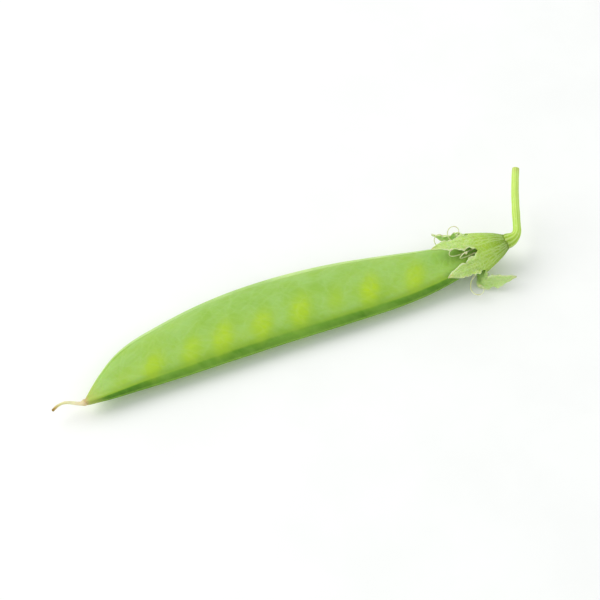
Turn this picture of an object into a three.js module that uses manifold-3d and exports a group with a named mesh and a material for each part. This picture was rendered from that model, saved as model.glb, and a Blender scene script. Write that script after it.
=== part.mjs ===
// A snow pea pod as picked: the flat pod with its peas showing as low swellings, the dried style on
// its beak, the five-lobed calyx round its neck, the dried stamens between the two, and the stalk.
// Millimetres, +Z up. The pod lies on one flank on the surface z = 0. +X runs along it from the beak
// to the stalk, +Y points to the dorsal (convex) seam and the peas hang from the seam at -Y. The
// origin is on the flat resting spot under the pod's weight.

import * as THREE from "three";
import { mergeVertices } from "three/addons/utils/BufferGeometryUtils.js";
import Module from "manifold-3d";

const wasm = await Module();
wasm.setup();

// ---------------------------------------------------------------- driving dimensions

const POD_LENGTH = 88; // beak to neck
const POD_WIDTH = 16; // seam to seam where it is widest
const POD_THICKNESS = 4.8; // flank to flank, without the swellings
const GAP = 0.3; // left between two pieces that touch

const BEAK_X = -0.513 * POD_LENGTH; // the origin lies under the weight of the whole
const BEAK_Y = -0.32 * POD_WIDTH;
const REST_Z = 2.5; // height of the pod's middle where it lies flat
const BEAK_LIFT = 0.9; // how far each end rises off the surface
const NECK_LIFT = 3.5;
const BEAK_LIFT_UNTIL = 0.25; // shares of the length
const NECK_LIFT_FROM = 0.7;
const ROLL = -2.4; // degrees: it leans over, onto its peas and its dorsal side
const TWIST = 1; // degrees from beak to neck

const SEAM_RADIUS = 0.5; // of the cord along each seam
const SEAM_BLEND = 3; // higher sets the cord off more sharply
const FLANK_POWER = 1.6; // higher is flatter flanks

const PEAS = [0.16, 0.249, 0.323, 0.418, 0.51, 0.594, 0.676, 0.784]; // shares of the length
const PEA_ROW_START = 0.1; // shares of the width from the line through the beak
const PEA_ROW_END = 0.245;
const PEA_SWELLING = 0.5; // of a pea in the middle; the outer ones are lower
const PEA_ALONG = 2.5; // standard widths of a swelling
const PEA_ACROSS = 2.6;

const CUP_DEPTH = 6.4; // calyx, from its foot to the notches between its lobes
const CUP_HALF_WIDTH = 4.25;
const CUP_HALF_HEIGHT = 3.45;
const CUP_BULGE = 1.7; // 1 is a cone, higher is fuller
const FLOOR_SHARE = 0.3; // of the rim's width, taken by the flat floor
const FLOOR_THICKNESS = 0.95;
const SEPAL_THICKNESS = 0.6;
const RIM_LEAN = Math.atan2(CUP_HALF_WIDTH, CUP_DEPTH * CUP_BULGE); // of the wall at its rim

const LOBE_START = 2; // where the first lobe's middle stands, in degrees from the dorsal seam
const LOBE_BELLY = 0.8; // higher keeps a lobe wide for longer
const LOBE_TIP = 0.12; // share of the root's width left at the tip
const LOBE_FLATTENING = 0.9; // share of the cup's roundness lost by the tip
const LOBE_WAVE = 0.35; // of its edges
const NOTCH_WIDTH = 0.16; // share of a lobe's width given up for the notches beside it
const NOTCH_LENGTH = 0.06; // share of a lobe's length along which they open

const STALK_LENGTH = 16.5;
const STALK_RADIUS = 0.78;
const STALK_FOOT = 0.7; // how much wider its foot is, as a share
const STALK_BEND = 72; // degrees, towards STALK_TURN from the dorsal seam
const STALK_BEND_UNTIL = 0.24; // share of the length
const STALK_TURN = 14;
const STALK_DROOP = 9;

const THREAD_RADIUS = 0.3; // stamens
const COLLAR_ALONG = 6.2; // from the calyx's foot
const COLLAR_INSET = 1.15; // from the middle of the calyx's wall at its rim

const STYLE_LENGTH = 6.4;
const STYLE_RADIUS = 0.33;
const STYLE_WAVES = [26, 10]; // degrees, in the pod's plane and out of it

// The pod's outline, as shares of its length and width, and its thickness as a share of the most.
// dorsal and ventral are the two seams' distances from the line through the beak.
const OUTLINE = [
  { at: 0, dorsal: 0.04, ventral: -0.034 },
  { at: 0.03, dorsal: 0.218, ventral: -0.056 },
  { at: 0.1, dorsal: 0.54, ventral: -0.068 },
  { at: 0.2, dorsal: 0.74, ventral: -0.08 },
  { at: 0.3, dorsal: 0.85, ventral: -0.09 },
  { at: 0.42, dorsal: 0.9, ventral: -0.1 },
  { at: 0.57, dorsal: 0.86, ventral: -0.125 },
  { at: 0.72, dorsal: 0.715, ventral: -0.14 },
  { at: 0.83, dorsal: 0.545, ventral: -0.115 },
  { at: 0.9, dorsal: 0.4, ventral: -0.06 },
  { at: 0.95, dorsal: 0.265, ventral: -0.002 },
  { at: 1, dorsal: 0.17, ventral: 0.08 },
];
const FULLNESS = [
  { at: 0, share: 0.24 },
  { at: 0.03, share: 0.42 },
  { at: 0.1, share: 0.68 },
  { at: 0.2, share: 0.88 },
  { at: 0.32, share: 0.97 },
  { at: 0.5, share: 1 },
  { at: 0.7, share: 0.95 },
  { at: 0.83, share: 0.82 },
  { at: 0.92, share: 0.65 },
  { at: 1, share: 0.27 },
];

// The five lobes of the calyx, in order round the axis from the dorsal seam. flare is how far a lobe
// leans out at its root, curl how much further it turns and out the direction it leans in, all in
// degrees. The curl is done at the share by of its length, which is in millimetres.
const LOBES = [
  { length: 8, flare: 14, curl: 26, by: 1, out: 4 },
  { length: 9, flare: 6, curl: 6, by: 1, out: 76 },
  { length: 8, flare: 9, curl: 18, by: 1, out: 146 },
  { length: 8.5, flare: 10, curl: 155, by: 0.5, out: 191 },
  { length: 7.5, flare: -10, curl: 0, by: 1, out: -68 },
];

// The stamens' threads, each out through a notch between two lobes. turn is the place round the
// axis, lean the way it sets out, curl how far it rolls up and drift how far it turns aside, in
// degrees. A high late has the curl come near the end. length is in millimetres.
const THREADS = [
  { turn: 36, length: 11, lean: 1, curl: 345, late: 2.2, drift: -5 },
  { turn: 53, length: 12, lean: 5, curl: 260, late: 4, drift: 5 },
  { turn: 94, length: 9, lean: 3, curl: 155, late: 3.2, drift: 15 },
  { turn: 110, length: 9, lean: 0, curl: 320, late: 2.6, drift: 20 },
  { turn: 194, length: 11, lean: 19, curl: 315, late: 2.6, drift: 5 },
  { turn: 339, length: 10.5, lean: 9, curl: 310, late: 2.6, drift: 10 },
];

// ---------------------------------------------------------------- helpers

// A natural cubic through rows[i].at, rows[i][key].
function smoothCurve(rows, key) {
  const n = rows.length;
  const x = rows.map((row) => row.at);
  const y = rows.map((row) => row[key]);
  const bend = new Array(n).fill(0);
  const carry = new Array(n).fill(0);
  for (let i = 1; i < n - 1; i++) {
    const share = (x[i] - x[i - 1]) / (x[i + 1] - x[i - 1]);
    const pivot = share * bend[i - 1] + 2;
    const slopes = (y[i + 1] - y[i]) / (x[i + 1] - x[i]) - (y[i] - y[i - 1]) / (x[i] - x[i - 1]);
    bend[i] = (share - 1) / pivot;
    carry[i] = ((6 * slopes) / (x[i + 1] - x[i - 1]) - share * carry[i - 1]) / pivot;
  }
  const second = new Array(n).fill(0);
  for (let i = n - 2; i > 0; i--) second[i] = bend[i] * second[i + 1] + carry[i];
  return (at) => {
    let i = 0;
    while (i < n - 2 && at > x[i + 1]) i++;
    const step = x[i + 1] - x[i];
    const a = (x[i + 1] - at) / step;
    const b = (at - x[i]) / step;
    const curved = (a ** 3 - a) * second[i] + (b ** 3 - b) * second[i + 1];
    return a * y[i] + b * y[i + 1] + (curved * step * step) / 6;
  };
}

// Collects faces by their corners' places, so that shared corners become one vertex.
class Skin {
  constructor() {
    this.places = [];
    this.faces = [];
    this.known = new Map();
  }
  corner(p) {
    const key = [p.x, p.y, p.z].map((value) => Math.round(value * 1e4)).join();
    if (!this.known.has(key)) {
      this.known.set(key, this.places.length / 3);
      this.places.push(p.x, p.y, p.z);
    }
    return this.known.get(key);
  }
  triangle(p, q, r) {
    const [a, b, c] = [p, q, r].map((point) => this.corner(point));
    if (a !== b && b !== c && c !== a) this.faces.push(a, b, c);
  }
  quad(p, q, r, s) {
    this.triangle(p, q, r);
    this.triangle(p, r, s);
  }
  geometry() {
    const made = new THREE.BufferGeometry();
    made.setAttribute("position", new THREE.Float32BufferAttribute(this.places, 3));
    made.setIndex(this.faces);
    return made;
  }
}

// A closed skin over rings of points, each ring turning anticlockwise seen from the last one.
function loft(rings, closed = false) {
  const skin = new Skin();
  const sides = rings[0].length;
  const spans = closed ? rings.length : rings.length - 1;
  for (let i = 0; i < spans; i++) {
    const here = rings[i];
    const next = rings[(i + 1) % rings.length];
    for (let j = 0; j < sides; j++) {
      const k = (j + 1) % sides;
      skin.quad(here[j], here[k], next[k], next[j]);
    }
  }
  if (!closed) {
    const middle = (ring) => ring.reduce((sum, p) => sum.add(p), new THREE.Vector3()).divideScalar(sides);
    const first = rings[0];
    const last = rings[rings.length - 1];
    for (let j = 0; j < sides; j++) {
      const k = (j + 1) % sides;
      skin.triangle(middle(first), first[k], first[j]);
      skin.triangle(middle(last), last[j], last[k]);
    }
  }
  return skin.geometry();
}

// Steps along a path that sets out ahead and turns towards side by pitch(t), and out of their
// plane by yaw(t). Each step is a frame: at, ahead, side and across.
function walk({ from, ahead, side, length, steps, pitch, yaw = () => 0 }) {
  const across = new THREE.Vector3().crossVectors(ahead, side);
  const frameAt = (t) => {
    const turned = (v) => v.clone().applyAxisAngle(across, pitch(t)).applyAxisAngle(side, yaw(t));
    return { ahead: turned(ahead), side: turned(side), across: turned(across) };
  };
  const frames = [{ at: from.clone(), ...frameAt(0) }];
  for (let i = 1; i <= steps; i++) {
    const middle = frameAt((i - 0.5) / steps).ahead;
    const at = frames[i - 1].at.clone().addScaledVector(middle, length / steps);
    frames.push({ at, ...frameAt(i / steps) });
  }
  return frames;
}

// A round bar along the frames of a walk.
function bar(frames, radius, sides) {
  return loft(
    frames.map((frame, i) =>
      Array.from({ length: sides }, (_, j) => {
        const angle = (2 * Math.PI * j) / sides;
        const r = radius(i / (frames.length - 1));
        return frame.at
          .clone()
          .addScaledVector(frame.side, r * Math.cos(angle))
          .addScaledVector(frame.across, r * Math.sin(angle));
      }),
    ),
  );
}

function toSolid(geometry) {
  const bare = geometry.clone();
  bare.deleteAttribute("normal");
  bare.deleteAttribute("uv");
  const merged = mergeVertices(bare, 1e-4);
  return new wasm.Manifold(
    new wasm.Mesh({
      numProp: 3,
      vertProperties: new Float32Array(merged.attributes.position.array),
      triVerts: new Uint32Array(merged.index.array),
    }),
  );
}

function toGeometry(solid) {
  const mesh = solid.getMesh();
  const made = new THREE.BufferGeometry();
  made.setAttribute("position", new THREE.Float32BufferAttribute(mesh.vertProperties, 3));
  made.setIndex(Array.from(mesh.triVerts));
  return made;
}

const radians = THREE.MathUtils.degToRad;

// ---------------------------------------------------------------- the pod's form

const dorsalSeam = smoothCurve(OUTLINE, "dorsal");
const ventralSeam = smoothCurve(OUTLINE, "ventral");
const fullness = smoothCurve(FULLNESS, "share");

// The middle of the pod's section at a share f of its length, and its half width and half height.
function section(f) {
  const dorsal = dorsalSeam(f) * POD_WIDTH;
  const ventral = ventralSeam(f) * POD_WIDTH;
  const nearBeak = Math.max(0, 1 - f / BEAK_LIFT_UNTIL);
  const nearNeck = Math.max(0, (f - NECK_LIFT_FROM) / (1 - NECK_LIFT_FROM));
  const lift = BEAK_LIFT * nearBeak ** 2 + NECK_LIFT * nearNeck ** 2;
  return {
    middle: new THREE.Vector3(
      BEAK_X + f * POD_LENGTH,
      BEAK_Y + (dorsal + ventral) / 2,
      REST_Z + lift,
    ),
    halfWidth: (dorsal - ventral) / 2,
    halfHeight: (fullness(f) * POD_THICKNESS) / 2,
    roll: radians(ROLL + TWIST * (f - 0.5)),
  };
}

const peas = PEAS.map((f) => ({
  along: f * POD_LENGTH,
  across: THREE.MathUtils.lerp(PEA_ROW_START, PEA_ROW_END, f) * POD_WIDTH,
  swelling: PEA_SWELLING * (0.7 + 0.3 * Math.sin(Math.PI * f)),
}));

// Half the pod's thickness: a lens with a cord along each edge and the peas' swellings on it.
// v runs from -1 at the ventral seam to 1 at the dorsal one.
function halfThickness(f, v) {
  const { halfWidth, halfHeight } = section(f);
  const lens = halfHeight * Math.max(0, Math.cos((Math.PI / 2) * Math.abs(v) ** FLANK_POWER));
  const cordRadius = Math.min(SEAM_RADIUS, halfWidth / 2);
  const fromSeam = (1 - Math.abs(v)) * halfWidth;
  const cord = Math.sqrt(Math.max(0, cordRadius ** 2 - (cordRadius - fromSeam) ** 2));
  const across = ((dorsalSeam(f) + ventralSeam(f)) / 2) * POD_WIDTH + v * halfWidth;
  const swelling = peas.reduce((sum, pea) => {
    const a = (f * POD_LENGTH - pea.along) / PEA_ALONG;
    const b = (across - pea.across) / PEA_ACROSS;
    return sum + pea.swelling * Math.exp(-(a * a + b * b) / 2);
  }, 0);
  return (lens ** SEAM_BLEND + cord ** SEAM_BLEND) ** (1 / SEAM_BLEND) + swelling * (1 - v ** 4);
}

// turn runs round the section from the ventral seam, over the upper flank first.
function podPoint(f, turn) {
  const { middle, halfWidth, roll } = section(f);
  const v = -Math.cos(turn);
  const side = Math.sign(Math.round(Math.sin(turn) * 1e6)); // 0 on the seams themselves
  const y = v * halfWidth;
  const z = side * halfThickness(f, v);
  return new THREE.Vector3(
    middle.x,
    middle.y + y * Math.cos(roll) - z * Math.sin(roll),
    middle.z + y * Math.sin(roll) + z * Math.cos(roll),
  );
}

function podGeometry() {
  const RINGS = 78;
  const SIDES = 32;
  const CROWDING = 0.55; // of the rings towards both ends
  const DEEP = 10;
  const rings = Array.from({ length: RINGS + 1 }, (_, i) => {
    const t = i / RINGS;
    const f = t - (CROWDING * Math.sin(2 * Math.PI * t)) / (2 * Math.PI);
    return Array.from({ length: SIDES }, (_, j) => podPoint(f, (-2 * Math.PI * j) / SIDES));
  });
  const below = new THREE.BoxGeometry(2 * POD_LENGTH, 4 * POD_WIDTH, DEEP).translate(0, 0, -DEEP / 2);
  return toGeometry(toSolid(loft(rings)).subtract(toSolid(below)));
}

// ---------------------------------------------------------------- the calyx's frame

// The cup's wall at a share s of the rim's width: how far along the axis it has come, its outward
// normal's parts away from the axis and along it, and its thickness.
function wall(s) {
  const slope = CUP_DEPTH * CUP_BULGE * s ** (CUP_BULGE - 1);
  const scale = Math.hypot(slope, CUP_HALF_WIDTH);
  const thinning = (s - FLOOR_SHARE) / (1 - FLOOR_SHARE);
  return {
    along: CUP_DEPTH * s ** CUP_BULGE,
    away: slope / scale,
    back: -CUP_HALF_WIDTH / scale,
    thickness: THREE.MathUtils.lerp(FLOOR_THICKNESS, SEPAL_THICKNESS, thinning),
  };
}

const floor = wall(FLOOR_SHARE);
const floorOutside = floor.along + (floor.back * floor.thickness) / 2;
const floorInside = floor.along - (floor.back * floor.thickness) / 2;

const neck = section(1).middle;
const shoulder = section(0.9).middle;
const ahead = shoulder.clone().sub(neck).normalize(); // from the stalk towards the pod
const dorsal = new THREE.Vector3(0, 1, 0).addScaledVector(ahead, -ahead.y).normalize();
const upper = new THREE.Vector3().crossVectors(dorsal, ahead);
const cupFoot = neck.clone().addScaledVector(ahead, -(2 * GAP + floorInside));

const onAxis = (along) => cupFoot.clone().addScaledVector(ahead, along);
const aroundAxis = (x, y) => dorsal.clone().multiplyScalar(x).addScaledVector(upper, y);
const ellipse = (turn, a, b) => aroundAxis(a * Math.cos(turn), b * Math.sin(turn));
const outward = (turn) =>
  aroundAxis(Math.cos(turn) / CUP_HALF_WIDTH, Math.sin(turn) / CUP_HALF_HEIGHT).normalize();
const rim = (turn) => ellipse(turn, CUP_HALF_WIDTH, CUP_HALF_HEIGHT).add(onAxis(CUP_DEPTH));

function cupPoint(turn, s) {
  const { along, away, back, thickness } = wall(s);
  return {
    at: ellipse(turn, CUP_HALF_WIDTH * s, CUP_HALF_HEIGHT * s).add(onAxis(along)),
    normal: outward(turn).multiplyScalar(away).addScaledVector(ahead, back),
    thickness,
  };
}

const outerFace = (p) => p.at.clone().addScaledVector(p.normal, p.thickness / 2);
const innerFace = (p) => p.at.clone().addScaledVector(p.normal, -p.thickness / 2);

// ---------------------------------------------------------------- the calyx

const LOBE_HALF = Math.PI / LOBES.length; // half of a lobe's share of the rim, as an angle
const LOBE_ROWS = 14;
const LOBE_COLUMNS = 6;

const lobeMiddle = (index) => radians(LOBE_START) + 2 * LOBE_HALF * index;

// How far a lobe has turned out of the axis's direction at a share b of its length. It starts along
// the cup's wall, which leans out at the rim.
function lobePitch(lobe, b) {
  const flare = THREE.MathUtils.lerp(RIM_LEAN, radians(lobe.flare), Math.min(1, 3 * b));
  return flare + radians(lobe.curl) * Math.min(1, b / lobe.by) ** 1.3;
}

// A lobe's width as a share of its root's: it narrows into the notches, then runs out to a point.
function lobeTaper(b) {
  const notches = 1 - NOTCH_WIDTH * (1 - Math.exp(-b / NOTCH_LENGTH));
  return Math.max(LOBE_TIP, (1 - b) ** 0.8 * (1 + LOBE_BELLY * b) * notches);
}

// One lobe as rows of points across it. Across the root it is its share of the rim.
function lobeRows(lobe, index) {
  const turn = lobeMiddle(index);
  const root = rim(turn);
  const side = outward(turn);
  const across = new THREE.Vector3().crossVectors(ahead, side);
  const out = aroundAxis(Math.cos(radians(lobe.out)), Math.sin(radians(lobe.out)));
  const hinge = new THREE.Vector3().crossVectors(ahead, out);
  const spine = walk({
    from: root,
    ahead,
    side: out,
    length: lobe.length,
    steps: LOBE_ROWS,
    pitch: (b) => lobePitch(lobe, b),
  });
  return spine.map((frame, i) => {
    const b = i / LOBE_ROWS;
    const taper = lobeTaper(b);
    const roundness = 1 - LOBE_FLATTENING * b;
    const turned = (v) => v.clone().applyAxisAngle(hinge, lobePitch(lobe, b));
    return Array.from({ length: LOBE_COLUMNS + 1 }, (_, j) => {
      const c = (2 * j) / LOBE_COLUMNS - 1; // -1 at one edge, 1 at the other
      const arc = rim(turn + c * LOBE_HALF).sub(root);
      const wave = LOBE_WAVE * b * c * c * Math.sin(7 * b + 2.3 * index);
      return {
        at: frame.at
          .clone()
          .addScaledVector(turned(across), taper * arc.dot(across))
          .addScaledVector(turned(side), taper * roundness * arc.dot(side) + wave),
        normal: turned(outward(turn + c * LOBE_HALF).lerp(side, 1 - roundness)).normalize(),
        thickness: SEPAL_THICKNESS,
      };
    });
  });
}

// Both faces of the floor, the cup's wall and the lobes, closed along the lobes' edges.
function calyxGeometry() {
  const CUP_ROWS = 6;
  const skin = new Skin();
  const outerFloor = onAxis(floorOutside);
  const innerFloor = onAxis(floorInside);
  LOBES.forEach((lobe, index) => {
    const cup = Array.from({ length: CUP_ROWS + 1 }, (_, i) => {
      const s = THREE.MathUtils.lerp(FLOOR_SHARE, 1, i / CUP_ROWS);
      return Array.from({ length: LOBE_COLUMNS + 1 }, (_, j) =>
        cupPoint(lobeMiddle(index) + ((2 * j) / LOBE_COLUMNS - 1) * LOBE_HALF, s),
      );
    });
    const rows = [...cup, ...lobeRows(lobe, index).slice(1)];
    const outer = rows.map((row) => row.map(outerFace));
    const inner = rows.map((row) => row.map(innerFace));
    const last = rows.length - 1;
    for (let j = 0; j < LOBE_COLUMNS; j++) {
      const k = j + 1;
      skin.triangle(outerFloor, outer[0][j], outer[0][k]);
      skin.triangle(innerFloor, inner[0][k], inner[0][j]);
      for (let i = 0; i < last; i++) {
        skin.quad(outer[i][j], outer[i + 1][j], outer[i + 1][k], outer[i][k]);
        skin.quad(inner[i][j], inner[i][k], inner[i + 1][k], inner[i + 1][j]);
      }
      skin.quad(outer[last][j], inner[last][j], inner[last][k], outer[last][k]);
    }
    for (let i = CUP_ROWS; i < last; i++) {
      const k = LOBE_COLUMNS;
      skin.quad(outer[i][0], inner[i][0], inner[i + 1][0], outer[i + 1][0]);
      skin.quad(outer[i][k], outer[i + 1][k], inner[i + 1][k], inner[i][k]);
    }
  });
  return skin.geometry();
}

// ---------------------------------------------------------------- stalk, stamens and style

function stalkGeometry() {
  const STEPS = 30;
  const SIDES = 12;
  const bend = (t) => THREE.MathUtils.smoothstep(t, 0, STALK_BEND_UNTIL);
  const frames = walk({
    from: onAxis(floorOutside - GAP),
    ahead: ahead.clone().negate(),
    side: aroundAxis(Math.cos(radians(STALK_TURN)), Math.sin(radians(STALK_TURN))),
    length: STALK_LENGTH,
    steps: STEPS,
    pitch: (t) => radians(STALK_BEND * bend(t) - STALK_DROOP * t * t),
  });
  const foot = (t) => STALK_FOOT * Math.exp(-((t / 0.07) ** 2));
  return bar(frames, (t) => STALK_RADIUS * (1 + foot(t) - 0.08 * t), SIDES);
}

// A collar round the neck, just inside the calyx's rim, with the threads growing from it.
function stamenGeometry() {
  const COLLAR_STEPS = 32;
  const COLLAR_SIDES = 6;
  const THREAD_STEPS = 18;
  const THREAD_SIDES = 5;
  const collarMiddle = (turn) =>
    ellipse(turn, CUP_HALF_WIDTH - COLLAR_INSET, CUP_HALF_HEIGHT - COLLAR_INSET).add(onAxis(COLLAR_ALONG));
  const collar = loft(
    Array.from({ length: COLLAR_STEPS }, (_, i) => {
      const turn = (2 * Math.PI * i) / COLLAR_STEPS;
      return Array.from({ length: COLLAR_SIDES }, (_, j) => {
        const angle = (2 * Math.PI * j) / COLLAR_SIDES;
        return collarMiddle(turn)
          .addScaledVector(outward(turn), THREAD_RADIUS * Math.cos(angle))
          .addScaledVector(ahead, THREAD_RADIUS * Math.sin(angle));
      });
    }),
    true,
  );
  const threads = THREADS.map((thread) => {
    const turn = radians(thread.turn);
    const frames = walk({
      from: collarMiddle(turn),
      ahead,
      side: outward(turn),
      length: thread.length,
      steps: THREAD_STEPS,
      pitch: (t) => radians(thread.lean + thread.curl * t ** thread.late),
      yaw: (t) => radians(thread.drift) * t,
    });
    return bar(frames, () => THREAD_RADIUS, THREAD_SIDES);
  });
  return toGeometry(threads.reduce((joined, thread) => joined.add(toSolid(thread)), toSolid(collar)));
}

function styleGeometry() {
  const STEPS = 10;
  const SIDES = 6;
  const frames = walk({
    from: section(0).middle.add(new THREE.Vector3(-GAP, 0, 0)),
    ahead: new THREE.Vector3(-1, 0, 0),
    side: new THREE.Vector3(0, 1, 0),
    length: STYLE_LENGTH,
    steps: STEPS,
    pitch: (t) => radians(STYLE_WAVES[0]) * Math.sin(5 * t),
    yaw: (t) => radians(STYLE_WAVES[1]) * Math.sin(4 * t),
  });
  return bar(frames, (t) => STYLE_RADIUS * (1 - 0.1 * t), SIDES);
}

// ---------------------------------------------------------------- the object

function piece(name, geometry, color, roughness) {
  const mesh = new THREE.Mesh(geometry, new THREE.MeshStandardMaterial({ color, roughness, metalness: 0 }));
  mesh.name = name;
  return mesh;
}

const snowPea = new THREE.Group();
snowPea.add(
  piece("pod", podGeometry(), 0x9ccb5f, 0.5),
  piece("calyx", calyxGeometry(), 0xb0d761, 0.6),
  piece("stalk", stalkGeometry(), 0xc4e872, 0.5),
  piece("stamens", stamenGeometry(), 0xdde0b0, 0.8),
  piece("style", styleGeometry(), 0xdbe3a2, 0.8),
);

export default snowPea;
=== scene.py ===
# %% [markdown]
# # A snow pea pod
# One flat green pod lies on its flank. It still has its calyx, its stalk, the dried stamens round
# its neck and the dried style on its beak. This file builds each of them as a fine mesh over a
# coarser model, the frame, which gives the places and the sizes. Blender works in metres. The
# shapes below are measured in millimetres, as one would measure a pod, and MM turns them into metres.

import math

import bmesh
import bpy
import numpy as np
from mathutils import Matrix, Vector


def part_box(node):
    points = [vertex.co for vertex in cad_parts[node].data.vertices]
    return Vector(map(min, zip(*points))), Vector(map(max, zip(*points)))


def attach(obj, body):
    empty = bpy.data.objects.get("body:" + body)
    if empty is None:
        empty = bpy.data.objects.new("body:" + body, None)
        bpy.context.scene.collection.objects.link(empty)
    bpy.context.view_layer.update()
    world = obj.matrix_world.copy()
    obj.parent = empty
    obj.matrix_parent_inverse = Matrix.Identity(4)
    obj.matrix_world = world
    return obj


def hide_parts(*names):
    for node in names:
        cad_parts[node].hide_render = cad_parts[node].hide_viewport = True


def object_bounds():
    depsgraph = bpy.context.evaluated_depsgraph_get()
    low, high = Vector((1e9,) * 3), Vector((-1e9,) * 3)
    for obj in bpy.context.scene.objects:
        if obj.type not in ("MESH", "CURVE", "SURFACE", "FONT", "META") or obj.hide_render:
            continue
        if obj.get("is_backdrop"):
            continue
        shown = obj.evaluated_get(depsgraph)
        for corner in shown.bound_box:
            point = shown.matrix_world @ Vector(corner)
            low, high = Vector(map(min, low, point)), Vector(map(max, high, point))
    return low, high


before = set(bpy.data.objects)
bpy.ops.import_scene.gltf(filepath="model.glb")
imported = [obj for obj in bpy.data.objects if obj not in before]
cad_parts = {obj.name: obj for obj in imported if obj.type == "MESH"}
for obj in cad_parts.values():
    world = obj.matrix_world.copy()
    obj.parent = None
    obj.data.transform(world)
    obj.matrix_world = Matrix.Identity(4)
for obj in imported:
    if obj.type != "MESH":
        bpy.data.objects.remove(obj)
cad_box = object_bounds()
MM = 0.001
print("the frame's nodes:", ", ".join(sorted(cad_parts)))

# %% [markdown]
# ## Nodes in few words
# Finishes and Geometry Nodes are both trees of nodes. A tree is easy to wire by hand but long to
# write, one node and one link at a time. A formula is shorter, so a number inside a tree is wrapped
# as a Value here, and adding two of them makes the Math node that adds them. Smooth steps and
# directions in space get a short word each.


# %% Wires and nodes
def wire(value, socket):
    """Sets a socket to a plain value, or links it to another socket."""
    value = getattr(value, "socket", value)
    if isinstance(value, bpy.types.NodeSocket):
        socket.id_data.links.new(value, socket)
    else:
        socket.default_value = value


def node(tree, kind, inputs=None, **settings):
    """A new node. inputs maps a socket's name or number to what is wired to it."""
    made = tree.nodes.new(kind)
    for name, value in settings.items():
        setattr(made, name, value)
    for name, value in (inputs or {}).items():
        wire(value, made.inputs[name])
    return made


scratch = bpy.data.node_groups.new("scratch", "ShaderNodeTree")
print("a first node:", node(scratch, "ShaderNodeMath").name)


# %% Formulas in nodes
def maths(operation, *values):
    """The result of a Math node, which goes into the tree of the values."""
    tree = next(value.tree for value in values if isinstance(value, Value))
    return Value(node(tree, "ShaderNodeMath", dict(enumerate(values)), operation=operation).outputs[0])


class Value:
    """A number inside a tree. A formula that is written with it becomes Math nodes."""

    def __init__(self, socket):
        self.socket, self.tree = socket, socket.id_data

    def __add__(self, other):
        return maths("ADD", self, other)

    def __sub__(self, other):
        return maths("SUBTRACT", self, other)

    def __rsub__(self, other):
        return maths("SUBTRACT", other, self)

    def __mul__(self, other):
        return maths("MULTIPLY", self, other)

    def __truediv__(self, other):
        return maths("DIVIDE", self, other)

    def __rtruediv__(self, other):
        return maths("DIVIDE", other, self)

    def __pow__(self, other):
        return maths("POWER", self, other)

    __radd__, __rmul__ = __add__, __mul__


half = Value(scratch.nodes[0].outputs[0]) / 2.0
print("dividing a Value made a Math node that is set to", half.socket.node.operation)
bpy.data.node_groups.remove(scratch)


# %% Steps and directions
def ramp(value, low, high, a=0.0, b=1.0):
    """a where value is under low and b where it is over high, with a smooth way between."""
    inputs = {0: value, 1: low, 2: high, 3: a, 4: b}
    return Value(node(value.tree, "ShaderNodeMapRange", inputs, interpolation_type="SMOOTHSTEP").outputs[0])


def vector(tree, x, y, z):
    return node(tree, "ShaderNodeCombineXYZ", {0: x, 1: y, 2: z}).outputs[0]


def vectors(operation, a, b):
    """The result of a Vector Math node. b is a number where a vector is scaled."""
    second = "Scale" if operation == "SCALE" else 1
    return node(a.id_data, "ShaderNodeVectorMath", {0: a, second: b}, operation=operation).outputs[0]


def rotated(a, angle, about="Z_AXIS"):
    """A vector turned about an axis."""
    inputs = {"Vector": a, "Angle": angle}
    return node(a.id_data, "ShaderNodeVectorRotate", inputs, rotation_type=about).outputs[0]


print("steps and directions:", ramp.__name__, vector.__name__, vectors.__name__, rotated.__name__)

# %% Groups with named sockets
FLOAT, WHOLE, VECTOR = "NodeSocketFloat", "NodeSocketInt", "NodeSocketVector"


def new_group(name, kind, inputs, outputs):
    """An empty tree with these sockets, the values given to it, and the sockets of its result."""
    tree = bpy.data.node_groups.new(name, kind)
    for socket, (socket_type, value) in inputs.items():
        made = tree.interface.new_socket(socket, in_out="INPUT", socket_type=socket_type)
        if value is not None:
            made.default_value = value
    for socket, socket_type in outputs.items():
        tree.interface.new_socket(socket, in_out="OUTPUT", socket_type=socket_type)
    given = {s.name: Value(s) for s in tree.nodes.new("NodeGroupInput").outputs if s.name}
    return tree, given, tree.nodes.new("NodeGroupOutput").inputs


print("a group's sockets are of the kinds", FLOAT, WHOLE, VECTOR)

# %% [markdown]
# ## Colours
# A colour on a plant is a mixture: a ground colour, a share of another in patches, a third along the
# veins. Colours are written as in a drawing program, six digits each, and turned into the linear
# values that Blender's sockets take. What a finish has to know of a place, such as how far along the
# pod it lies, it reads from a named attribute that the mesh keeps.


# %% Colours in a material
def paint(code):
    """Six hexadecimal digits as a linear colour."""
    value = np.array([int(code[i : i + 2], 16) for i in (0, 2, 4)]) / 255
    linear = np.where(value <= 0.04045, value / 12.92, ((value + 0.055) / 1.055) ** 2.4)
    return (*linear.tolist(), 1.0)


def mixed(share, first, second):
    """The first colour with a share of the second. Each is a code or a socket."""
    first, second = (paint(colour) if isinstance(colour, str) else colour for colour in (first, second))
    return node(share.tree, "ShaderNodeMix", {0: share, 6: first, 7: second}, data_type="RGBA").outputs[2]


def colours(value, stops):
    """A run of colours over value. Each stop is a place from 0 to 1 and a colour's code."""
    made = node(value.tree, "ShaderNodeValToRGB", {0: value})
    band = made.color_ramp.elements
    band[1].position, band[1].color = stops[-1][0], paint(stops[-1][1])
    band[0].position, band[0].color = stops[0][0], paint(stops[0][1])
    for place, code in stops[1:-1]:
        band.new(place).color = paint(code)
    return made.outputs[0]


def kept(tree, name):
    """A value that the mesh keeps as a named attribute."""
    return Value(node(tree, "ShaderNodeAttribute", attribute_name=name).outputs["Fac"])


def effect(tree, group, values):
    """A group placed in a material with its own values. Gives the group's result."""
    return Value(node(tree, "ShaderNodeGroup", values, node_tree=group).outputs[0])


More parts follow.
